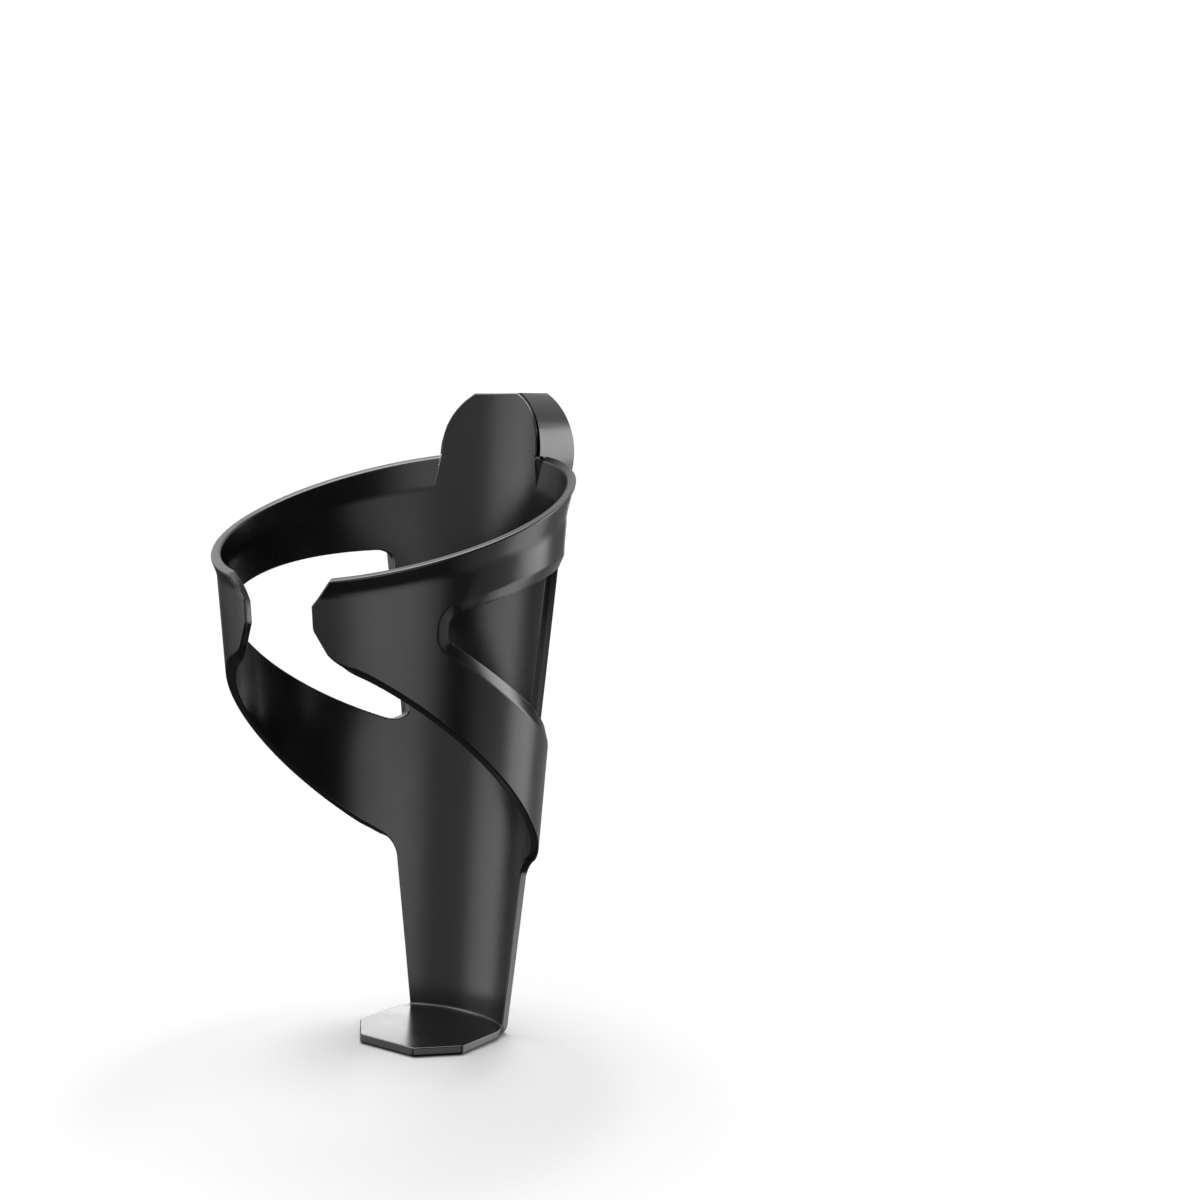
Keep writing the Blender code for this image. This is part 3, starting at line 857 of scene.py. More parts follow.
    def stem_width(self, z: float) -> float:
        """Half the stem's width at a height."""
        return self.stem_half_width + self.stem_spread * z

    @cached_property
    def stem_root(self) -> float:
        """Finds where the stem's side, run straight up, would meet the arms' lower edge.

        Returns:
            The height.
        """

        def better(z: float) -> float:
            """Height half way to the lower edge above the stem's side."""
            bearing = self.cone.back_bearing(self.stem_width(z), z)
            return z + (self.cone.height_on(self.arm_edge, bearing) - z) / 2

        return settle(self.arm_edge.height / 2, better)

    def plate(self) -> Piece:
        """Models one half of the wall as a flat plate, its inner face at depth 0.

        Returns:
            The plate.
        """
        edge = self.tongue_edge() + self.rim_edge() + self.lower_edge()
        inner = [(self.across(point.bearing), point.height, 0.0) for point in edge]
        outer = []
        for point in edge:
            outer.append((self.across(point.bearing + point.turn), point.height + point.lift, self.cone.wall))
        return flat_piece(self.name, [inner, outer])

    def window_line(self, grow: float) -> list[Pair]:
        """Draws the outline of the window, seen from the side.

        Args:
            grow: How far outside the opening the line runs.

        Returns:
            Points of y and height: top, back corners, bottom and front corners.
        """
        front, back = self.window_front - grow, self.window_back
        front_corner, back_corner = self.window_front_corner + grow, self.window_back_corner
        run = (front, *spread(front + 2 * front_corner, back - 2 * back_corner, self.run_points), back)
        top = [(y, self.window_top.at(y) + grow * hypot(1, self.window_top.slope)) for y in run]
        bottom = [(y, self.window_bottom.at(y) - grow * hypot(1, self.window_bottom.slope)) for y in run]
        line = top[1:-1] + round_corner(top[-2], top[-1], bottom[-1], back_corner, self.back_points)
        line += round_corner(top[-1], bottom[-1], bottom[-2], back_corner, self.back_points)
        line += bottom[-2:0:-1] + round_corner(bottom[1], bottom[0], top[0], front_corner, self.front_points)
        return line + round_corner(bottom[0], top[0], top[1], front_corner, self.front_points)

    def window_levels(self) -> list[list[Triple]]:
        """Draws the outlines of the window through the flat plate.

        Returns:
            The outline below the inner face, at the sill, on the outer face and above it.
        """
        wall, depth = self.cone.wall, self.cone.wall - self.bevel_depth
        draft_start, draft_end = (self.window_back - ahead for ahead in self.draft_zone)
        levels: list[list[Triple]] = [[], [], [], []]
        for (y, z), (wide_y, wide_z) in zip(self.window_line(0), self.window_line(self.bevel_width)):
            draft = share_of(y, draft_start, draft_end) * self.window_draft
            start = self.cone.side_bearing(y, z)
            end = self.cone.side_bearing(y + draft, z, depth)
            wide = self.cone.side_bearing(wide_y + draft, wide_z, wall)
            below, above = MM / depth, MM / self.bevel_depth
            levels[0].append((self.across(start - (end - start) * below), z, -MM))
            levels[1].append((self.across(end), z, depth))
            levels[2].append((self.across(wide), wide_z, wall))
            beyond = (wide + (wide - end) * above, wide_z + (wide_z - z) * above)
            levels[3].append((self.across(beyond[0]), beyond[1], wall + MM))
        return levels

    def round_edges(self, plate: Piece) -> None:
        """Rounds the plate's edges, apart from the middle plane, the floor and the slit.

        Args:
            plate: The flat plate.
        """
        slit, wall = self.across(self.slit_bearing), self.cone.wall
        floor, top = self.slit_floor - TINY, self.slit_top + TINY
        _, sill, outer, _ = self.window_levels()
        wide = {(round(x / TINY), round(y / TINY)) for x, y, _ in outer}
        front = min(x for x, _, _ in sill[-2 * self.front_points:])
        back = outer[self.run_points:self.run_points + 2 * self.back_points]
        near, margin = 1.2 * MM, 0.2 * MM

        def on_bevel(edge: Edge) -> bool:
            """Picks the outer edge of the window's bevel.

            Args:
                edge: The edge.

            Returns:
                Whether it is picked.
            """
            flat = all(abs(vert.co.z - wall) < TINY for vert in edge.verts)
            places = [(round(vert.co.x / TINY), round(vert.co.y / TINY)) for vert in edge.verts]
            return flat and all(place in wide for place in places)

        def at_sill(edge: Edge) -> bool:
            """Picks the inner edge of the window's bevel."""
            return all(abs(vert.co.z - wall + self.bevel_depth) < TINY for vert in edge.verts)

        def on_sill(edge: Edge) -> bool:
            """Picks that inner edge behind the front corners, which stay crisp."""
            return at_sill(edge) and any(vert.co.x < front - TINY for vert in edge.verts)

        def at_corner(edge: Edge) -> bool:
            """Picks what lies round the bevel's back corners.

            Args:
                edge: The edge.

            Returns:
                Whether it is picked.
            """
            points = [vert.co for vert in edge.verts]
            away = [min(hypot(co.x - x, co.y - y) for x, y, _ in back) for co in points]
            return max(away) < near and min(co.z for co in points) > MM

        def in_slit(first: Vector, second: Vector) -> bool:
            """Picks the slit's own edges, but not the rim's that start there.

            Args:
                first: One end of the edge.
                second: Its other end.

            Returns:
                Whether it is picked.
            """
            inside = all(abs(co.x - slit) < self.slit_reach and floor < co.y < top for co in (first, second))
            level = abs(first.x - second.x) > abs(first.y - second.y) + margin
            return inside and not (first.z == second.z and level)

        def crisp(edge: Edge) -> bool:
            """Picks the crisp edges that are left to round.

            Args:
                edge: The edge.

            Returns:
                Whether it is picked.
            """
            first, second = (vert.co for vert in edge.verts)
            at_middle = abs(first.x) < TINY and abs(second.x) < TINY
            at_floor = abs(first.y) < TINY and abs(second.y) < TINY
            if at_middle or at_floor or edge.calc_face_angle(0) <= CRISP:
                return False
            return not (in_slit(first, second) or at_sill(edge) or at_corner(edge))

        round_where(plate, "window bevel edges", on_bevel, self.bevel_softness, 2)
        round_where(plate, "window sill edges", on_sill, self.sill_softness, 2)
        round_where(plate, "crisp edges", crisp, self.edge_radius)

    def split_columns(self, plate: Piece) -> None:
        """Opens the middle plane, and splits the plate into narrow columns and the foot's bend into rows.

        Args:
            plate: The flat plate.
        """
        with edit_mode(plate):
            select_where(plate, Element.FACE, lambda face: all(abs(vert.co.x) < TINY for vert in face.verts))
            bpy.ops.mesh.delete(type="ONLY_FACE")
        last, step = max(vert.co.x for vert in plate.data.vertices), self.across(self.column)
        planes = [((step * number, 0, 0), (1, 0, 0)) for number in range(1, int(last / step) + 1)]
        planes += [((0, share * self.foot_bend, 0), (0, 1, 0)) for share in self.bend_rows]
        split_by(plate, planes)
        tidy(plate, 0.004 * MM)

    def roll(self, plate: Piece) -> None:
        """Rolls the flat plate onto the cone, with the outside rounded under the stem.

        Args:
            plate: The flat plate.
        """
        for vert in plate.data.vertices:
            bearing, z, depth = vert.co.x / self.pattern_radius, vert.co.y, vert.co.z
            radius = self.cone.inner(z) + depth * self.wall_left(z)
            vert.co = (radius * sin(bearing), radius * cos(bearing), z)

    def wall_left(self, z: float) -> float:
        """Finds the share of the wall that the round under the stem leaves.

        Args:
            z: Height.

        Returns:
            The share.
        """
        below = max(self.foot_bend - z, 0)
        bend = self.foot_bend - sqrt(max(self.foot_bend ** 2 - below ** 2, 0))
        return 1 - bend / self.cone.wall

    def depth(self, x: float, y: float, z: float) -> float:
        """How deep in the stem's wall a point lies."""
        return (hypot(x, y) - self.cone.inner(z)) / self.wall_left(z)

    def flare(self, plate: Piece) -> None:
        """Splits the arm along its crease and turns the rim outward above it.

        Args:
            plate: The rolled half.
        """
        soft, slant = self.crease_softness, (0, -self.crease.slope, 1)
        reach, below = 1.6 * soft, 3 * soft
        offsets = spread(-reach, reach, self.crease_rows)
        split_by(plate, [((0, 0, self.crease.height + offset), slant) for offset in offsets])
        tidy(plate, 0.004 * MM)
        known: dict[int, tuple[float, EdgePoint]] = {}
        for vert in plate.data.vertices:
            x, y, z = vert.co
            bearing, radius = atan2(x, y), hypot(x, y)
            if bearing < self.slit_middle(z) or z < self.crease.at(y) - below:
                continue
            key = round(bearing * 1e5)
            if key not in known:
                fold = self.cone.height_on(self.crease, bearing, self.cone.wall)
                known[key] = fold, self.cut_by(self.rim, bearing, self.flare_width)
            fold, top = known[key]
            share = (radius - self.cone.inner(z)) / self.cone.wall
            slope = self.flare_width / (top.height + share * top.lift - fold)
            above = z - fold
            push = slope * above if above > soft else slope * max(above + soft, 0) ** 2 / (4 * soft)
            vert.co = (x * (radius + push) / radius, y * (radius + push) / radius, z)

    def mirror(self, plate: Piece) -> None:
        """Mirrors the half in the middle plane and closes the seam.

        Args:
            plate: The flared half.
        """
        focus(plate)
        modifier = plate.modifiers.new("other_half", "MIRROR")
        modifier.merge_threshold = 0.5 * TINY
        modifier.use_clip = True
        bpy.ops.object.modifier_apply(modifier=modifier.name)
        tidy(plate)

    def foot_outline(self, count: int) -> list[Pair]:
        """Draws the front of the foot seen from above, from the middle round to its right side.

        Args:
            count: Number of points.

        Returns:
            The points in order.
        """
        side, arc = self.foot_front + self.foot_chamfer, 5
        front, corner = (self.foot_front_half_width, self.foot_front), (self.foot_half_width, side)
        first = round_corner((0, self.foot_front), front, corner, self.foot_corner, arc)
        second = round_corner(front, corner, (self.foot_half_width, 2 * side), self.foot_corner, arc)
        spare = count - 2 * arc
        straight = (spare + 1) // 2
        points = [(x, self.foot_front) for x in spread(0, first[0][0], straight + 1)[:-1]] + first
        (x, y), (far_x, far_y) = first[-1], second[0]
        for share in spread(0, 1, spare - straight + 2)[1:-1]:
            points.append((x + share * (far_x - x), y + share * (far_y - y)))
        return points + second

    def rounding(self, z: float) -> float:
        """Finds how far the foot's rounded edge lies inside its outline.

        Args:
            z: Height.

        Returns:
            The distance.
        """
        low, high = self.foot_low_round, self.foot_high_round
        if z < low:
            return low - sqrt(max(low ** 2 - (low - z) ** 2, 0))
        over = max(z - self.foot_thickness + high, 0)
        return high - sqrt(max(high ** 2 - over ** 2, 0))

    def draw_foot(self, plate: Piece) -> None:
        """Draws the foot forward out of the stem's inner face, with rounded edges.

        Args:
            plate: The mirrored body.
        """
        split_by(plate, [((0, 0, self.foot_thickness - drop), (0, 0, 1)) for drop in self.foot_rows])

        def behind(face: Face) -> bool:
            """Picks the stem's inner face, with its rounded edges, up to the foot's top.

            Args:
                face: The face.

            Returns:
                Whether it is picked.
            """
            for x, y, z in (vert.co for vert in face.verts):
                on_inside = abs(hypot(x, y) - self.cone.inner(z)) < self.edge_radius + TINY
                if not on_inside or y <= 0 or z >= self.foot_thickness + TINY:
                    return False
            return True

        with edit_mode(plate):
            select_where(plate, Element.FACE, behind)
            edit = bmesh.from_edit_mesh(plate.data)
            places = [vert.co.copy() for vert in edit.verts if vert.select]
            row = [co for co in places if co.x > -TINY and abs(co.z - self.foot_thickness) < TINY]
            half = max(co.x for co in row)
            bpy.ops.mesh.extrude_region_move()
            edit = bmesh.from_edit_mesh(plate.data)
            for vert in [vert for vert in edit.verts if vert.select]:
                x, y, z = vert.co
                vert.co = (x * (self.foot_half_width - self.rounding(z)) / half, y - self.foot_neck, z)
            bmesh.update_edit_mesh(plate.data)
            bpy.ops.mesh.extrude_region_move()
            edit = bmesh.from_edit_mesh(plate.data)
            moved = [vert for vert in edit.verts if vert.select]
            for vert, co in zip(moved, self.foot_places([vert.co.copy() for vert in moved], row, half)):
                vert.co = co
            bmesh.update_edit_mesh(plate.data)

    def foot_places(self, points: list[Vector], row: list[Vector], half: float) -> list[Triple]:
        """Finds where the points at the foot's full width go on its front.

        Args:
            points: The points, in front of the stem by the neck.
            row: Points of the stem's inner face at the foot's top, on the right half.
            half: Half the width of that row.

        Returns:
            The new places in order.
        """
        flush = 3 * TINY
        edge = sorted({round(atan2(x, y), 5) for x, y, z in row if self.depth(x, y, z) < flush})
        sunk = [self.edge_radius * (1 - cos(turn)) for turn in spread(pi / 6, pi / 2, 3)]
        outline = self.foot_outline(len(edge) + len(sunk))
        last = len(outline) - 1
        places = []
        for x, y, z in points:
            sign, inset = -1 if x < 0 else 1, self.rounding(z)
            x, y = abs(x) * half / (self.foot_half_width - inset), y + self.foot_neck
            depth, bearing = self.depth(x, y, z), atan2(x, y)
            if depth < flush:
                step = min(range(len(edge)), key=lambda known: abs(edge[known] - bearing))
            else:
                step = len(edge) + min(range(len(sunk)), key=lambda known: abs(sunk[known] - depth))
            along = (Vector(outline[min(step + 1, last)]) - Vector(outline[max(step - 1, 0)])).normalized()
            if step in (0, last):
                along = Vector((1, 0)) if step == 0 else Vector((0, 1))
            out_x, out_y = outline[step]
            places.append((sign * (out_x - along.y * inset), out_y + along.x * inset, z))
        return places

    def soften_foot(self, plate: Piece) -> None:
        """Fills the corner between the foot's top and the stem with a small round.

        Args:
            plate: The body with its foot.
        """
        radius, near = self.cone.inner(self.foot_thickness), 0.06 * MM

        def corner(edge: Edge) -> bool:
            """Picks the corner's edges."""
            level = all(abs(vert.co.z - self.foot_thickness) < TINY for vert in edge.verts)
            return level and all(abs(hypot(vert.co.x, vert.co.y) - radius) < near for vert in edge.verts)

        round_where(plate, "foot corner edges", corner, self.foot_fillet)


# Distances of the screws and of the inserts from the block's middle.
SCREW_PLACE = 10.5 * MM
INSERT_PLACE = 8.5 * MM


class Side(Enum):
    """Place of a screw and its boss, from the block's middle."""

    LEFT = (-SCREW_PLACE, 0, 0)
    RIGHT = (SCREW_PLACE, 0, 0)


class Level(Enum):
    """Place of a threaded insert, from the block's middle."""

    LOWER = (0, 0, -INSERT_PLACE)
    UPPER = (0, 0, INSERT_PLACE)


def ring(radius: float, y: float, count: int = 48, corners: int = 0) -> list[Triple]:
    """Places points round the Y axis, on a circle or on a polygon.

    Args:
        radius: Radius of the circle, or distance from the axis to the polygon's flats.
        y: Place along the axis.
        count: Number of points.
        corners: Corners of the polygon, or 0 for a circle.

    Returns:
        The points in order.
    """
    points = []
    for step in range(count):
        turn = 2 * pi * step / count
        off = (turn % (2 * pi / corners) - pi / corners) if corners else 0.0
        reach = radius / cos(off)
        points.append((reach * cos(turn), y, reach * sin(turn)))
    return points


def copies(pattern: Piece, places: type[Side] | type[Level], ending: str) -> dict[str, Piece]:
    """Copies a pattern to each place, every copy with a mesh of its own, and removes the pattern.

    Args:
        pattern: The piece that is copied.
        places: The places.
        ending: Last word of the copies' names.

    Returns:
        The copies, by the word for their place.
    """
    pieces = {}
    for place in places:
        word = place.name.lower()
        piece = pieces[word] = pattern.copy()
        piece.data = pattern.data.copy()
        piece.name = piece.data.name = f"fine_{word}_{ending}"
        piece.data.transform(Matrix.Translation(place.value))
        bpy.context.scene.collection.objects.link(piece)
    bpy.data.objects.remove(pattern)
    return pieces


def drill(block: Piece, place: Side | Level, radius: float, start: float, end: float) -> None:
    """Drills one hole along Y.

    Args:
        block: The piece that is drilled.
        place: Where the hole lies.
        radius: Radius.
        start: Front end.
        end: Rear end.
    """
    plug = flat_piece("drill", [ring(radius, start), ring(radius, end)])
    plug.data.transform(Matrix.Translation(place.value))
    combine(block, plug)


def at_back(edge: Edge) -> bool:
    """Picks the edges that lie in the block's rear face."""
    return all(abs(vert.co.y) < TINY for vert in edge.verts)


@dataclass
class MountBlock:
    """The round mount block behind the tongue, with a nest for the tongue and holes for the fittings.

    Attributes:
        name: Name of the piece.
        body: The body whose tongue lies in the nest.
        half_width: Half the block's width.
        half_height: Half the height between its flats.
        flat: Half the width of its upper and lower flats.
        front: Front end of the shape that it is cut from.
        nest_gap: Dark gap beside the tongue.
        tight_gap: Gap round the tongue's upper end.
        tight_zone: Angles on the tongue's end between which the gap narrows.
        nest_height: Height above the middle at which the nest's sides start.
        lip: How far the lip beside the tongue lies behind the tongue's inner face.
        lip_back: Place behind which an edge isn't one of the lip's.
        clearance: Gap behind the tongue.
        screw_hole: Radius of the screw holes.
        head_hole: Radius of the holes for the screw heads.
        head_depth: Depth of those holes.
        boss_hole: Radius of the holes for the bosses.
        boss_back: Rear end of those holes.
        insert_hole: Radius of the insert holes.
        insert_depth: Depth of the insert holes.
        edge_radius: Rounding of the rear edge.
        lip_softness: Rounding of the lip's edges.
        hole_softness: Rounding of the holes' edges.
        side_points: Points on each round side.
        nest_points: Points on the nest's arc on each side.
        cone_points: Points round the cones that cut the front.
        beyond: Half the size of the shapes that cut right through.
    """

    name: str = "fine_mount_block"
    body: CageBody = field(default_factory=CageBody)
    half_width: float = 16.05 * MM
    half_height: float = 15.307 * MM
    flat: float = 7.3 * MM
    front: float = -18 * MM
    nest_gap: float = 0.25 * MM
    tight_gap: float = 0.03 * MM
    tight_zone: Pair = (radians(20), radians(40))
    nest_height: float = -0.6 * MM
    lip: float = 1.1 * MM
    lip_back: float = -13 * MM
    clearance: float = 0.06 * MM
    screw_hole: float = 1.75 * MM
    head_hole: float = 3.1 * MM
    head_depth: float = 3.3 * MM
    boss_hole: float = 3.5 * MM
    boss_back: float = -8.0 * MM
    insert_hole: float = 3.8 * MM
    insert_depth: float = 6.3 * MM
    edge_radius: float = 0.5 * MM
    lip_softness: float = 0.12 * MM
    hole_softness: float = 0.25 * MM
    side_points: int = 41
    nest_points: int = 15
    cone_points: int = 360
    beyond: float = 25 * MM

    def build(self, material: Material) -> Piece:
        """Models, shades and fits out the block.

        Args:
            material: Finish of the block.

        Returns:
            The finished piece.
        """
        outline = self.outline()
        block = flat_piece(self.name, [[(x, y, z) for x, z in outline] for y in (self.front, 0.0)])
        round_where(block, "rear edges", at_back, self.edge_radius)
        combine(block, self.cone_plug("front_plug", self.lip))
        nest = self.cone_plug("nest_plug", self.body.cone.wall + self.clearance)
        combine(nest, self.nest_prism(), Keep.SHARED)
        combine(block, nest)
        tidy(block)
        round_where(block, "front edges", self.at_front, self.lip_softness, 2)
        for side in Side:
            drill(block, side, self.boss_hole, self.front, self.boss_back)
            drill(block, side, self.screw_hole, self.front, MM)
            drill(block, side, self.head_hole, -self.head_depth, MM)
        for level in Level:
            drill(block, level, self.insert_hole, -self.insert_depth, MM)
        tidy(block)
        round_where(block, "hole edges", self.at_hole, self.hole_softness, 2)
        tidy(block)
        shade(block, 35)
        fit_out(block, material, "block", "rear_mount_block")
        return block

    def outline(self) -> list[Pair]:
        """Draws the block seen from the front, about its middle.

        Returns:
            The points in order.
        """
        rise, run = self.half_height, self.half_width - self.flat
        radius = (rise ** 2 + run ** 2) / (2 * run)
        first, middle = asin(rise / radius), self.half_width - radius
        turns = spread(first, -first, self.side_points)
        side = [(middle + radius * cos(turn), radius * sin(turn)) for turn in turns]
        return side + [(-x, -z) for x, z in side]

    def cone_plug(self, name: str, out: float) -> Piece:
        """Models a solid cone about the bottle axis.

        Args:
            name: Name of the new object.
            out: How far it lies outside the body's inner face.

        Returns:
            The cone.
        """
        levels = []
        for z in (-self.beyond, self.beyond):
            radius = self.body.cone.inner(z - CENTRE[2]) + out
            turns = [2 * pi * step / self.cone_points for step in range(self.cone_points)]
            levels.append([(radius * sin(turn), CENTRE[1] + radius * cos(turn), z) for turn in turns])
        return flat_piece(name, levels)

    def nest_prism(self) -> Piece:
        """Models the tongue's outline, a little wider than the tongue and open below, run through the block.

        Returns:
            The prism.
        """
        half, flat, top = self.body.tongue_half_width, self.body.tongue_flat, self.half_height
        first = acos(flat / half)
        middle = top - half * sin(first)
        above, wide, ends = top + 2 * MM, 20 * MM, (-30 * MM, -2 * MM)
        side = [(flat + self.tight_gap, above)]
        for turn in spread(first, 0, self.nest_points):
            high = share_of(turn, *self.tight_zone)
            reach = half + high * self.tight_gap + (1 - high) * self.nest_gap
            side.append((reach * cos(turn), middle + reach * sin(turn)))
        side += [(half + self.nest_gap, self.nest_height), (wide, self.nest_height), (wide, -self.beyond)]
        line = side + [(-x, z) for x, z in reversed(side)]
        return flat_piece("nest_prism", [[(x, y, z) for x, z in line] for y in ends])

    def at_hole(self, edge: Edge) -> bool:
        """Picks the edges of the holes in the rear face."""
        inside = all(hypot(vert.co.x, vert.co.z) < self.half_width - MM for vert in edge.verts)
        return inside and at_back(edge) and edge.calc_face_angle(0) > CRISP

    def at_front(self, edge: Edge) -> bool:
        """Picks the edges round the visible front of the block.

        Args:
            edge: The edge.

        Returns:
            Whether it is picked.
        """
        low = self.nest_height + 0.2 * MM
        behind = all(vert.co.y > self.lip_back or vert.co.z < low for vert in edge.verts)
        return not behind and edge.calc_face_angle(0) > CRISP


@dataclass
class ThreadedInsert:
    """A turned brass insert with a threaded bore.

    Attributes:
        radius: Outside radius.
        bore: Radius of the thread's crests.
        length: Length along the bore.
        pitch: Distance between the thread's crests.
        thread: Depth of the thread.
        crest: Width of a crest.
        flank: Distance along the bore from a crest's start to the next root.
        countersink: Growth of the bore's radius at its mouth.
        groove: Depth of the groove round the middle.
        chamfer: Chamfer of the outer edges.
        steps: Faces round the bore.
    """

    radius: float = 3.5 * MM
    bore: float = 2.1 * MM
    length: float = 6.0 * MM
    pitch: float = 0.8 * MM
    thread: float = 0.3 * MM
    crest: float = 0.1 * MM
    flank: float = 0.4 * MM
    countersink: float = 0.45 * MM
    groove: float = 0.5 * MM
    chamfer: float = 0.3 * MM
    steps: int = 64

    def build(self, material: Material) -> list[Piece]:
        """Models one insert and copies it to both places.

        Args:
            material: Finish of the inserts.

        Returns:
            The finished pieces.
        """
        pieces = copies(self.turn(), Level, "insert")
        for word, piece in pieces.items():
            fit_out(piece, material, "insert", f"{word}_threaded_insert")
        return list(pieces.values())

    def profile(self) -> list[Pair]:
        """Draws the section of the insert.

        Returns:
            Points of radius and place along the bore, in order.
        """
        end, root = -self.length, self.bore + self.thread
        outside = [(self.radius - self.chamfer, 0.0), (self.radius, -self.chamfer)]
        for share, sunk in ((0.36, 0), (0.4, 1), (0.6, 1), (0.64, 0)):
            outside.append((self.radius - sunk * self.groove, end * share))
        outside += [(self.radius, end + self.chamfer), (self.radius - self.chamfer, end)]
        inside = [(root, end)]
        y = end + self.chamfer
        while y < -0.9 * self.pitch:
            inside += [(self.bore, y), (self.bore, y + self.crest), (root, y + self.flank)]
            y += self.pitch
        return outside + inside + [(self.bore + self.countersink, 0.0)]

    def turn(self) -> Piece:
        """Turns the section round the bore.

        Returns:
            The pattern of both inserts.
        """
        section = self.profile()
        bpy.ops.object.select_all(action="DESELECT")
        bpy.ops.mesh.primitive_circle_add(vertices=len(section), radius=1)
        piece = bpy.context.active_object
        for vert, (radius, y) in zip(piece.data.vertices, section):
            vert.co = (radius, y, 0)
        with edit_mode(piece):
            bpy.ops.mesh.select_all(action="SELECT")
            bpy.ops.mesh.spin(steps=self.steps, angle=2 * pi, center=(0, 0, 0), axis=(0, 1, 0))
        tidy(piece)
        shade(piece, 30)
        return piece


@dataclass
class BlockScrew:
    """A black screw with a rounded head and a hexagon socket.

    Attributes:
        seat: Where the head's underside lies.
        end: Front end of the shank.
        shank: Radius of the shank.
        point: Length of the shank's tapered end.
        taper: Share of the shank's radius that is left at its end.
        head: Radius of the head.
        head_height: Height of the head.
        head_round: Radius of the head's upper edge.
        head_break: Break of its lower edge.
        socket: Half the width of the socket across its flats.
        socket_break: Break of the socket's edge.
        socket_depth: Depth of the socket.
        socket_cone: Radius of the flat at the socket's bottom, and how far it lies below the walls.
    """

    seat: float = -3.0 * MM
    end: float = -13.2609 * MM
    shank: float = 1.45 * MM
    point: float = 0.6 * MM
    taper: float = 0.6
    head: float = 2.8 * MM
    head_height: float = 2.0 * MM
    head_round: float = 0.6 * MM
    head_break: float = 0.15 * MM
    socket: float = 1.08 * MM
    socket_break: float = 0.12 * MM
    socket_depth: float = 1.1 * MM
    socket_cone: float = 0.3 * MM

    def build(self, material: Material) -> list[Piece]:
        """Models one screw and copies it to both places.

        Args:
            material: Finish of the screws.

        Returns:
            The finished pieces.
        """
        pattern = flat_piece("screw_pattern", self.levels())
        shade(pattern, 30)
        pieces = copies(pattern, Side, "screw")
        for word, piece in pieces.items():
            fit_out(piece, material, "screw", f"{word}_block_screw")
        return list(pieces.values())

    def levels(self) -> list[list[Triple]]:
        """Draws the outlines of the screw from its front end, over the head and down into the socket.

        Returns:
            The outlines in order.
        """
        top = self.seat + self.head_height
        levels = [ring(self.taper * self.shank, self.end), ring(self.shank, self.end + self.point)]
        levels += [ring(self.shank, self.seat), ring(self.head - self.head_break, self.seat)]
        levels.append(ring(self.head, self.seat + self.head_break))
        for turn in spread(0, pi / 2, 6):
            inset, drop = self.head_round * (1 - cos(turn)), self.head_round * (1 - sin(turn))
            levels.append(ring(self.head - inset, top - drop))
        for grow, share in ((self.socket_break, 0.0), (0.0, 0.12), (0.0, 1.0)):
            levels.append(ring(self.socket + grow, top - share * self.socket_depth, corners=6))
        return levels + [ring(self.socket_cone, top - self.socket_depth - self.socket_cone)]


@dataclass
class ScrewBoss:
    """A tubular boss on the back of the tongue that a screw bites into.

    Attributes:
        radius: Outside radius.
        bore: Radius of the pilot hole.
        front: Front end, inside the wall.
        back: Rear end.
        soft: Break of its edges.
    """

    radius: float = 3.2 * MM
    bore: float = 1.5 * MM
    front: float = -13.6 * MM
    back: float = -8.2609 * MM
    soft: float = 0.3 * MM

    def build(self, material: Material) -> list[Piece]:
        """Models one boss and copies it to both places.

        Args:
            material: Finish of the bosses.

        Returns:
            The finished pieces.
        """
        shoulder = self.back - self.soft
        levels = [ring(self.radius, self.front), ring(self.radius, shoulder)]
        levels += [ring(self.radius - self.soft, self.back), ring(self.bore + self.soft, self.back)]
        levels += [ring(self.bore, shoulder), ring(self.bore, self.front + self.soft)]
        pattern = flat_piece("boss_pattern", levels)
        shade(pattern, 30)
        pieces = list(copies(pattern, Side, "boss").values())
        for piece in pieces:
            fit_out(piece, material, "body", "cage_body")
        return pieces


@dataclass(frozen=True)
class Softbox:
    """A soft white panel of the studio, far from the cage.

    Attributes:
        bearing: Direction from the cage in degrees, 0 towards the front gap and 90 to the right.
        half_width: Half its width in degrees.
        soft: Half the width of its soft upright edges in degrees.
        low: Elevation of its lower edge in degrees.
        high: Elevation of its upper edge in degrees, past 90 where it goes on overhead.
        strength: Brightness.
    """

    bearing: float
    half_width: float
    soft: float
    low: float
    high: float
    strength: float


def add_math(tree: Tree, operation: str, first: Socket, second: Socket | float) -> Socket:
    """Adds one Math node.

    Args:
        tree: The node tree.
        operation: Name of the operation.
        first: First input.
        second: Second input, a socket or a number.

    Returns:
        The result.
    """
    node = add_node(tree, "Math")
    node.operation = operation
    tree.links.new(first, node.inputs[0])
    if isinstance(second, float):
        node.inputs[1].default_value = second
    else:
        tree.links.new(second, node.inputs[1])
    return node.outputs["Value"]


def add_vector_math(tree: Tree, operation: str, first: Socket, second: Triple = (0, 0, 0)) -> Node:
    """Adds one Vector Math node.

    Args:
        tree: The node tree.
        operation: Name of the operation.
        first: First input.
        second: Second input.

    Returns:
        The node.
    """
    node = add_node(tree, "VectorMath")
    node.operation = operation
    tree.links.new(first, node.inputs[0])
    node.inputs[1].default_value = second
    return node


def soft_edge(tree: Tree, value: Socket, dark: float, bright: float) -> Socket:
    """Adds one soft edge of a panel.

    Args:
        tree: The node tree.
        value: The value that the edge lies in.
        dark: Value at which the panel is black.
        bright: Value at which the panel is fully bright.

    Returns:
        The share of full brightness.
    """
    low, high = sorted((dark, bright))
    falling, rising = float(dark > bright), float(dark < bright)
    node = add_node(tree, "MapRange", from_min=low, from_max=high, to_min=falling, to_max=rising)
    node.interpolation_type = "SMOOTHSTEP"
    tree.links.new(value, node.inputs["Value"])
    return node.outputs["Result"]


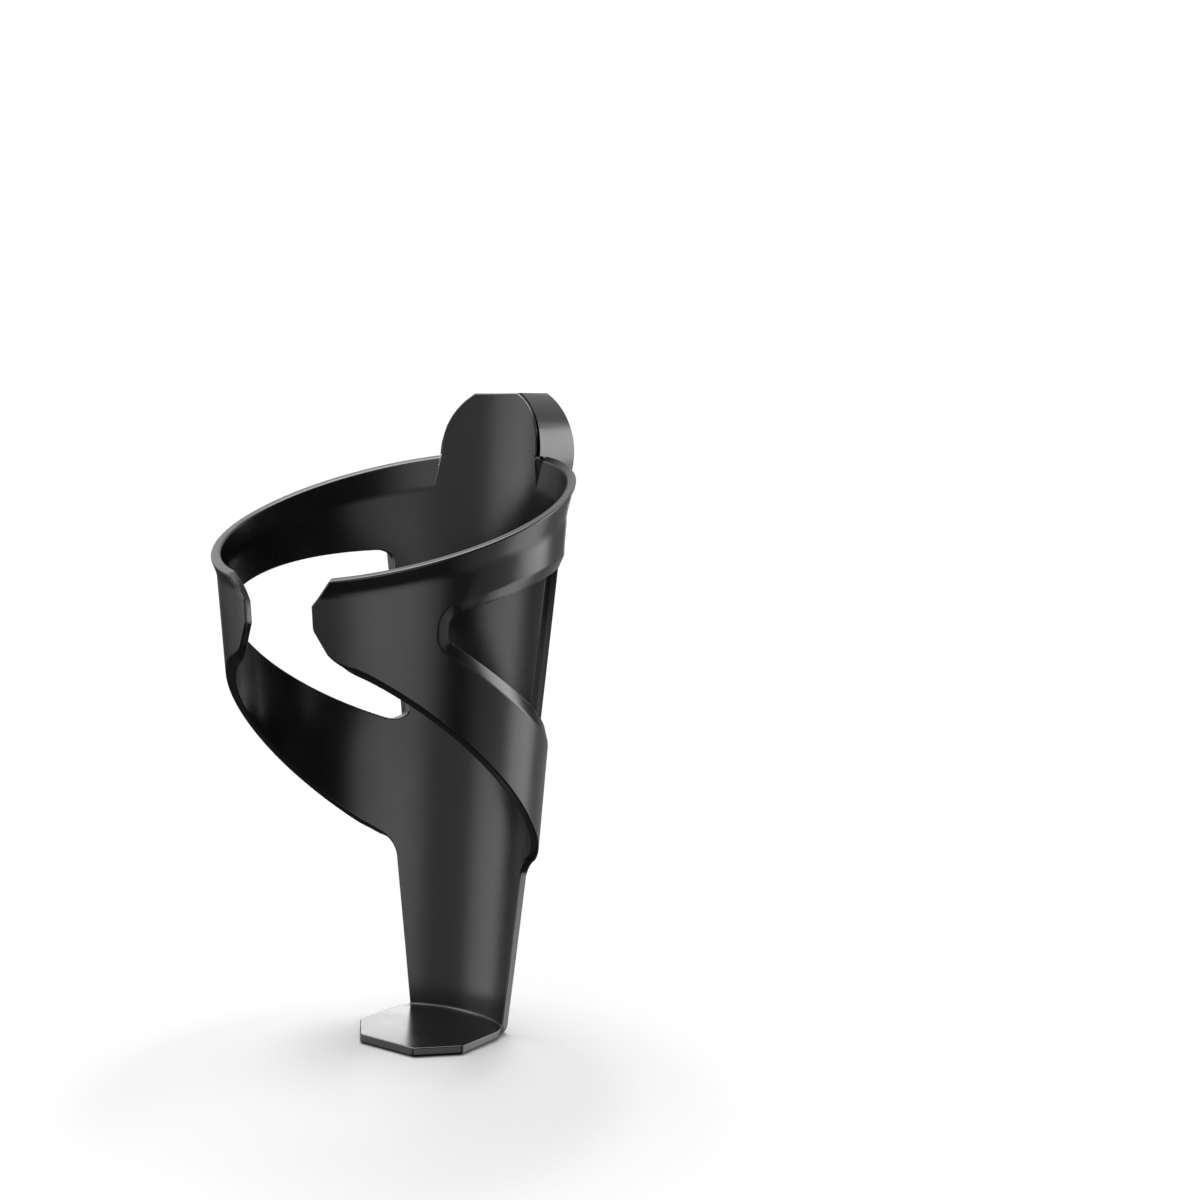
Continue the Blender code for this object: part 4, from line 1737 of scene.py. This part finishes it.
def aim_along(thing: Piece, way: Triple) -> None:
    """Turns a lamp or a camera to look along a direction and puts it in the scene."""
    thing.rotation_euler = Vector(way).to_track_quat("-Z", "Y").to_euler()
    bpy.context.scene.collection.objects.link(thing)


@dataclass
class Studio:
    """Pale floor, soft panels of light and the camera.

    Attributes:
        floor_height: World height of the floor.
        floor_size: Length of its sides.
        floor_grey: Its linear brightness.
        floor_roughness: Its roughness.
        camera_place: Camera position.
        camera_aim: Direction in which the camera looks.
        sensor: Sensor width in millimetres.
        focal_length: Lens length in millimetres.
        camera_shift: Lens shift that puts the cage at its place in the frame.
        fill: Brightness between the panels, as the gloss sees it.
        panels: The soft panels.
        panel_soft: Half the height of the panels' soft level edges in degrees.
        backdrop: Brightness of the backdrop as the camera sees it.
        ambient: Even light from all round.
        sun_strength: Strength of the wide lamp overhead.
        sun_width: Its width in degrees.
        sun_way: Direction in which its light falls.
        card_place: Middle of the low white card.
        card_target: Where the card faces, at its own height.
        card_size: Its width and height.
        card_power: Its power in watts.
    """

    floor_height: float = CENTRE[2]
    floor_size: float = 40.0
    floor_grey: float = 0.93
    floor_roughness: float = 0.9
    camera_place: Triple = (303.40 * MM, -418.13 * MM, 10.68 * MM)
    camera_aim: Triple = (-0.6337, 0.7577, -0.1564)
    sensor: float = 36.0
    focal_length: float = 58.07
    camera_shift: Pair = (0.1750, 0.0980)
    fill: float = 0.05
    panels: tuple[Softbox, ...] = (
        Softbox(-54, 12, 14, -40, 14, 1.75),
        Softbox(-15, 75, 30, -18, 14, 0.78),
        Softbox(-118, 25, 20, -5, 30, 0.35),
        Softbox(-42, 71, 20, 16, 55, 1.8),
        Softbox(42, 20, 20, -35, 4, 1.8),
        Softbox(147, 13, 6, -8, 23, 5.6),
        Softbox(149, 12, 9, -40, -8, 2.35),
        Softbox(125, 12, 24, -40, 10, 0.7),
        Softbox(-165, 55, 20, 5, 70, 0.9),
        Softbox(-165, 35, 15, -40, -4, 0.35),
        Softbox(-88, 45, 15, 42, 60, 9.0),
        Softbox(0, 180, 10, 62, 120, 10.0),
    )
    panel_soft: float = 4.0
    backdrop: float = 1.1
    ambient: float = 0.42
    sun_strength: float = 2.25
    sun_width: float = 34.0
    sun_way: Triple = (0.152, -0.209, -0.966)
    card_place: Triple = (-0.30, 0.36, -0.02)
    card_target: Pair = (0.0, -0.04)
    card_size: Pair = (0.34, 0.10)
    card_power: float = 0.52

    def build(self) -> None:
        """Sets up the floor, the light and the camera."""
        bpy.context.scene.view_settings.view_transform = "Standard"
        self.lay_floor()
        self.hang_panels()
        self.hang_lamps()
        self.place_camera()

    def lay_floor(self) -> None:
        """Lays the pale floor, which the gloss doesn't see."""
        bpy.ops.object.select_all(action="DESELECT")
        bpy.ops.mesh.primitive_plane_add(size=self.floor_size, location=(0, 0, self.floor_height))
        floor = bpy.context.active_object
        floor.name = "studio_floor"
        floor.visible_glossy = False
        material, _, shader = new_material("pale_floor")
        shader.inputs["Base Color"].default_value = (self.floor_grey, self.floor_grey, self.floor_grey, 1)
        shader.inputs["Roughness"].default_value = self.floor_roughness
        shader.inputs["Specular IOR Level"].default_value = 0
        floor.data.materials.append(material)

    def hang_panels(self) -> None:
        """Lights the floor evenly from all round, and lets the gloss see the soft panels."""
        world = bpy.data.worlds.new("studio_surround")
        bpy.context.scene.world = world
        world.use_nodes = True
        tree, link = world.node_tree, world.node_tree.links.new
        tree.nodes.clear()
        mix, path = add_node(tree, "MixShader"), add_node(tree, "LightPath")
        link(mix.outputs["Shader"], add_node(tree, "OutputWorld").inputs["Surface"])
        link(path.outputs["Is Glossy Ray"], mix.inputs["Fac"])
        even, panels = add_node(tree, "Background"), add_node(tree, "Background")
        # The panels keep the node's own pale grey, and their strengths are set for it.
        even.inputs["Color"].default_value = (1, 1, 1, 1)
        link(even.outputs["Background"], mix.inputs[1])
        link(panels.outputs["Background"], mix.inputs[2])
        seen = add_math(tree, "MULTIPLY", path.outputs["Is Camera Ray"], self.backdrop - self.ambient)
        link(add_math(tree, "ADD", seen, self.ambient), even.inputs["Strength"])

        way = add_node(tree, "TexCoord").outputs["Generated"]
        split = add_node(tree, "SeparateXYZ")
        link(way, split.inputs["Vector"])
        level = add_vector_math(tree, "MULTIPLY", way, (1, 1, 0)).outputs["Vector"]
        compass = add_vector_math(tree, "NORMALIZE", level).outputs["Vector"]
        total: Socket | float = self.fill
        for panel in self.panels:
            total = add_math(tree, "ADD", self.glow(tree, panel, compass, split.outputs["Z"]), total)
        link(total, panels.inputs["Strength"])

    def glow(self, tree: Tree, panel: Softbox, compass: Socket, rise: Socket) -> Socket:
        """Hangs one soft panel in the surround.

        Args:
            tree: The world's node tree.
            panel: The panel.
            compass: Level direction of the ray.
            rise: Upward part of the ray's direction.

        Returns:
            The panel's glow.
        """
        bearing = radians(panel.bearing)
        aim = add_vector_math(tree, "DOT_PRODUCT", compass, (sin(bearing), -cos(bearing), 0))
        outer = radians(min(panel.half_width + panel.soft, 180))
        inner = radians(max(panel.half_width - panel.soft, 0))
        # The edge's two ends stay a little apart even where it has no softness.
        glow = soft_edge(tree, aim.outputs["Value"], cos(outer) - 1e-4, cos(inner))
        for edge, soft in ((panel.low, self.panel_soft), (panel.high, -self.panel_soft)):
            if abs(edge) < 90:
                dark, bright = sin(radians(edge - soft)), sin(radians(edge + soft))
                glow = add_math(tree, "MULTIPLY", glow, soft_edge(tree, rise, dark, bright))
        return add_math(tree, "MULTIPLY", glow, panel.strength)

    def hang_lamps(self) -> None:
        """Adds a wide lamp overhead for the soft shadow, and a low white card that the foot's gloss sees."""
        sun = bpy.data.lights.new("overhead", "SUN")
        sun.energy = self.sun_strength
        sun.angle = radians(self.sun_width)
        lamp = bpy.data.objects.new("overhead", sun)
        lamp.visible_glossy = False
        aim_along(lamp, self.sun_way)
        light = bpy.data.lights.new("low_card", "AREA")
        light.shape = "RECTANGLE"
        light.size, light.size_y = self.card_size
        light.energy = self.card_power
        card = bpy.data.objects.new("low_card", light)
        card.location = self.card_place
        card.visible_diffuse = False
        aim_along(card, Vector((*self.card_target, self.card_place[2])) - card.location)

    def place_camera(self) -> None:
        """Places the camera at the photograph's viewing angle."""
        lens = bpy.data.cameras.new("studio_camera")
        lens.sensor_width = self.sensor
        lens.lens = self.focal_length
        lens.shift_x, lens.shift_y = self.camera_shift
        lens.clip_start = 10 * MM
        camera = bpy.data.objects.new("studio_camera", lens)
        camera.location = self.camera_place
        aim_along(camera, self.camera_aim)
        bpy.context.scene.camera = camera


SATIN_BLACK = MouldedPlastic("satin_black_plastic", (0.0042, 0.0042, 0.0044), (0.20, 0.26))
BRASS = TurnedMetal("turned_brass", (0.72, 0.50, 0.22), (0.22, 0.34))
BLACK_STEEL = TurnedMetal("black_oxide_steel", (0.05, 0.05, 0.055), (0.28, 0.4))


def main() -> None:
    """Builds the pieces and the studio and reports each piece."""
    logging.basicConfig(level=logging.INFO, format="%(message)s")
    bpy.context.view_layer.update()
    black, brass, steel = (finish.material() for finish in (SATIN_BLACK, BRASS, BLACK_STEEL))
    pieces = [CageBody().build(black), *ScrewBoss().build(black), MountBlock().build(black)]
    pieces += ThreadedInsert().build(brass) + BlockScrew().build(steel)
    for piece in pieces:
        LOG.info("%s: %d faces", piece.name, len(piece.data.polygons))
    Studio().build()


if __name__ == "__main__":
    main()
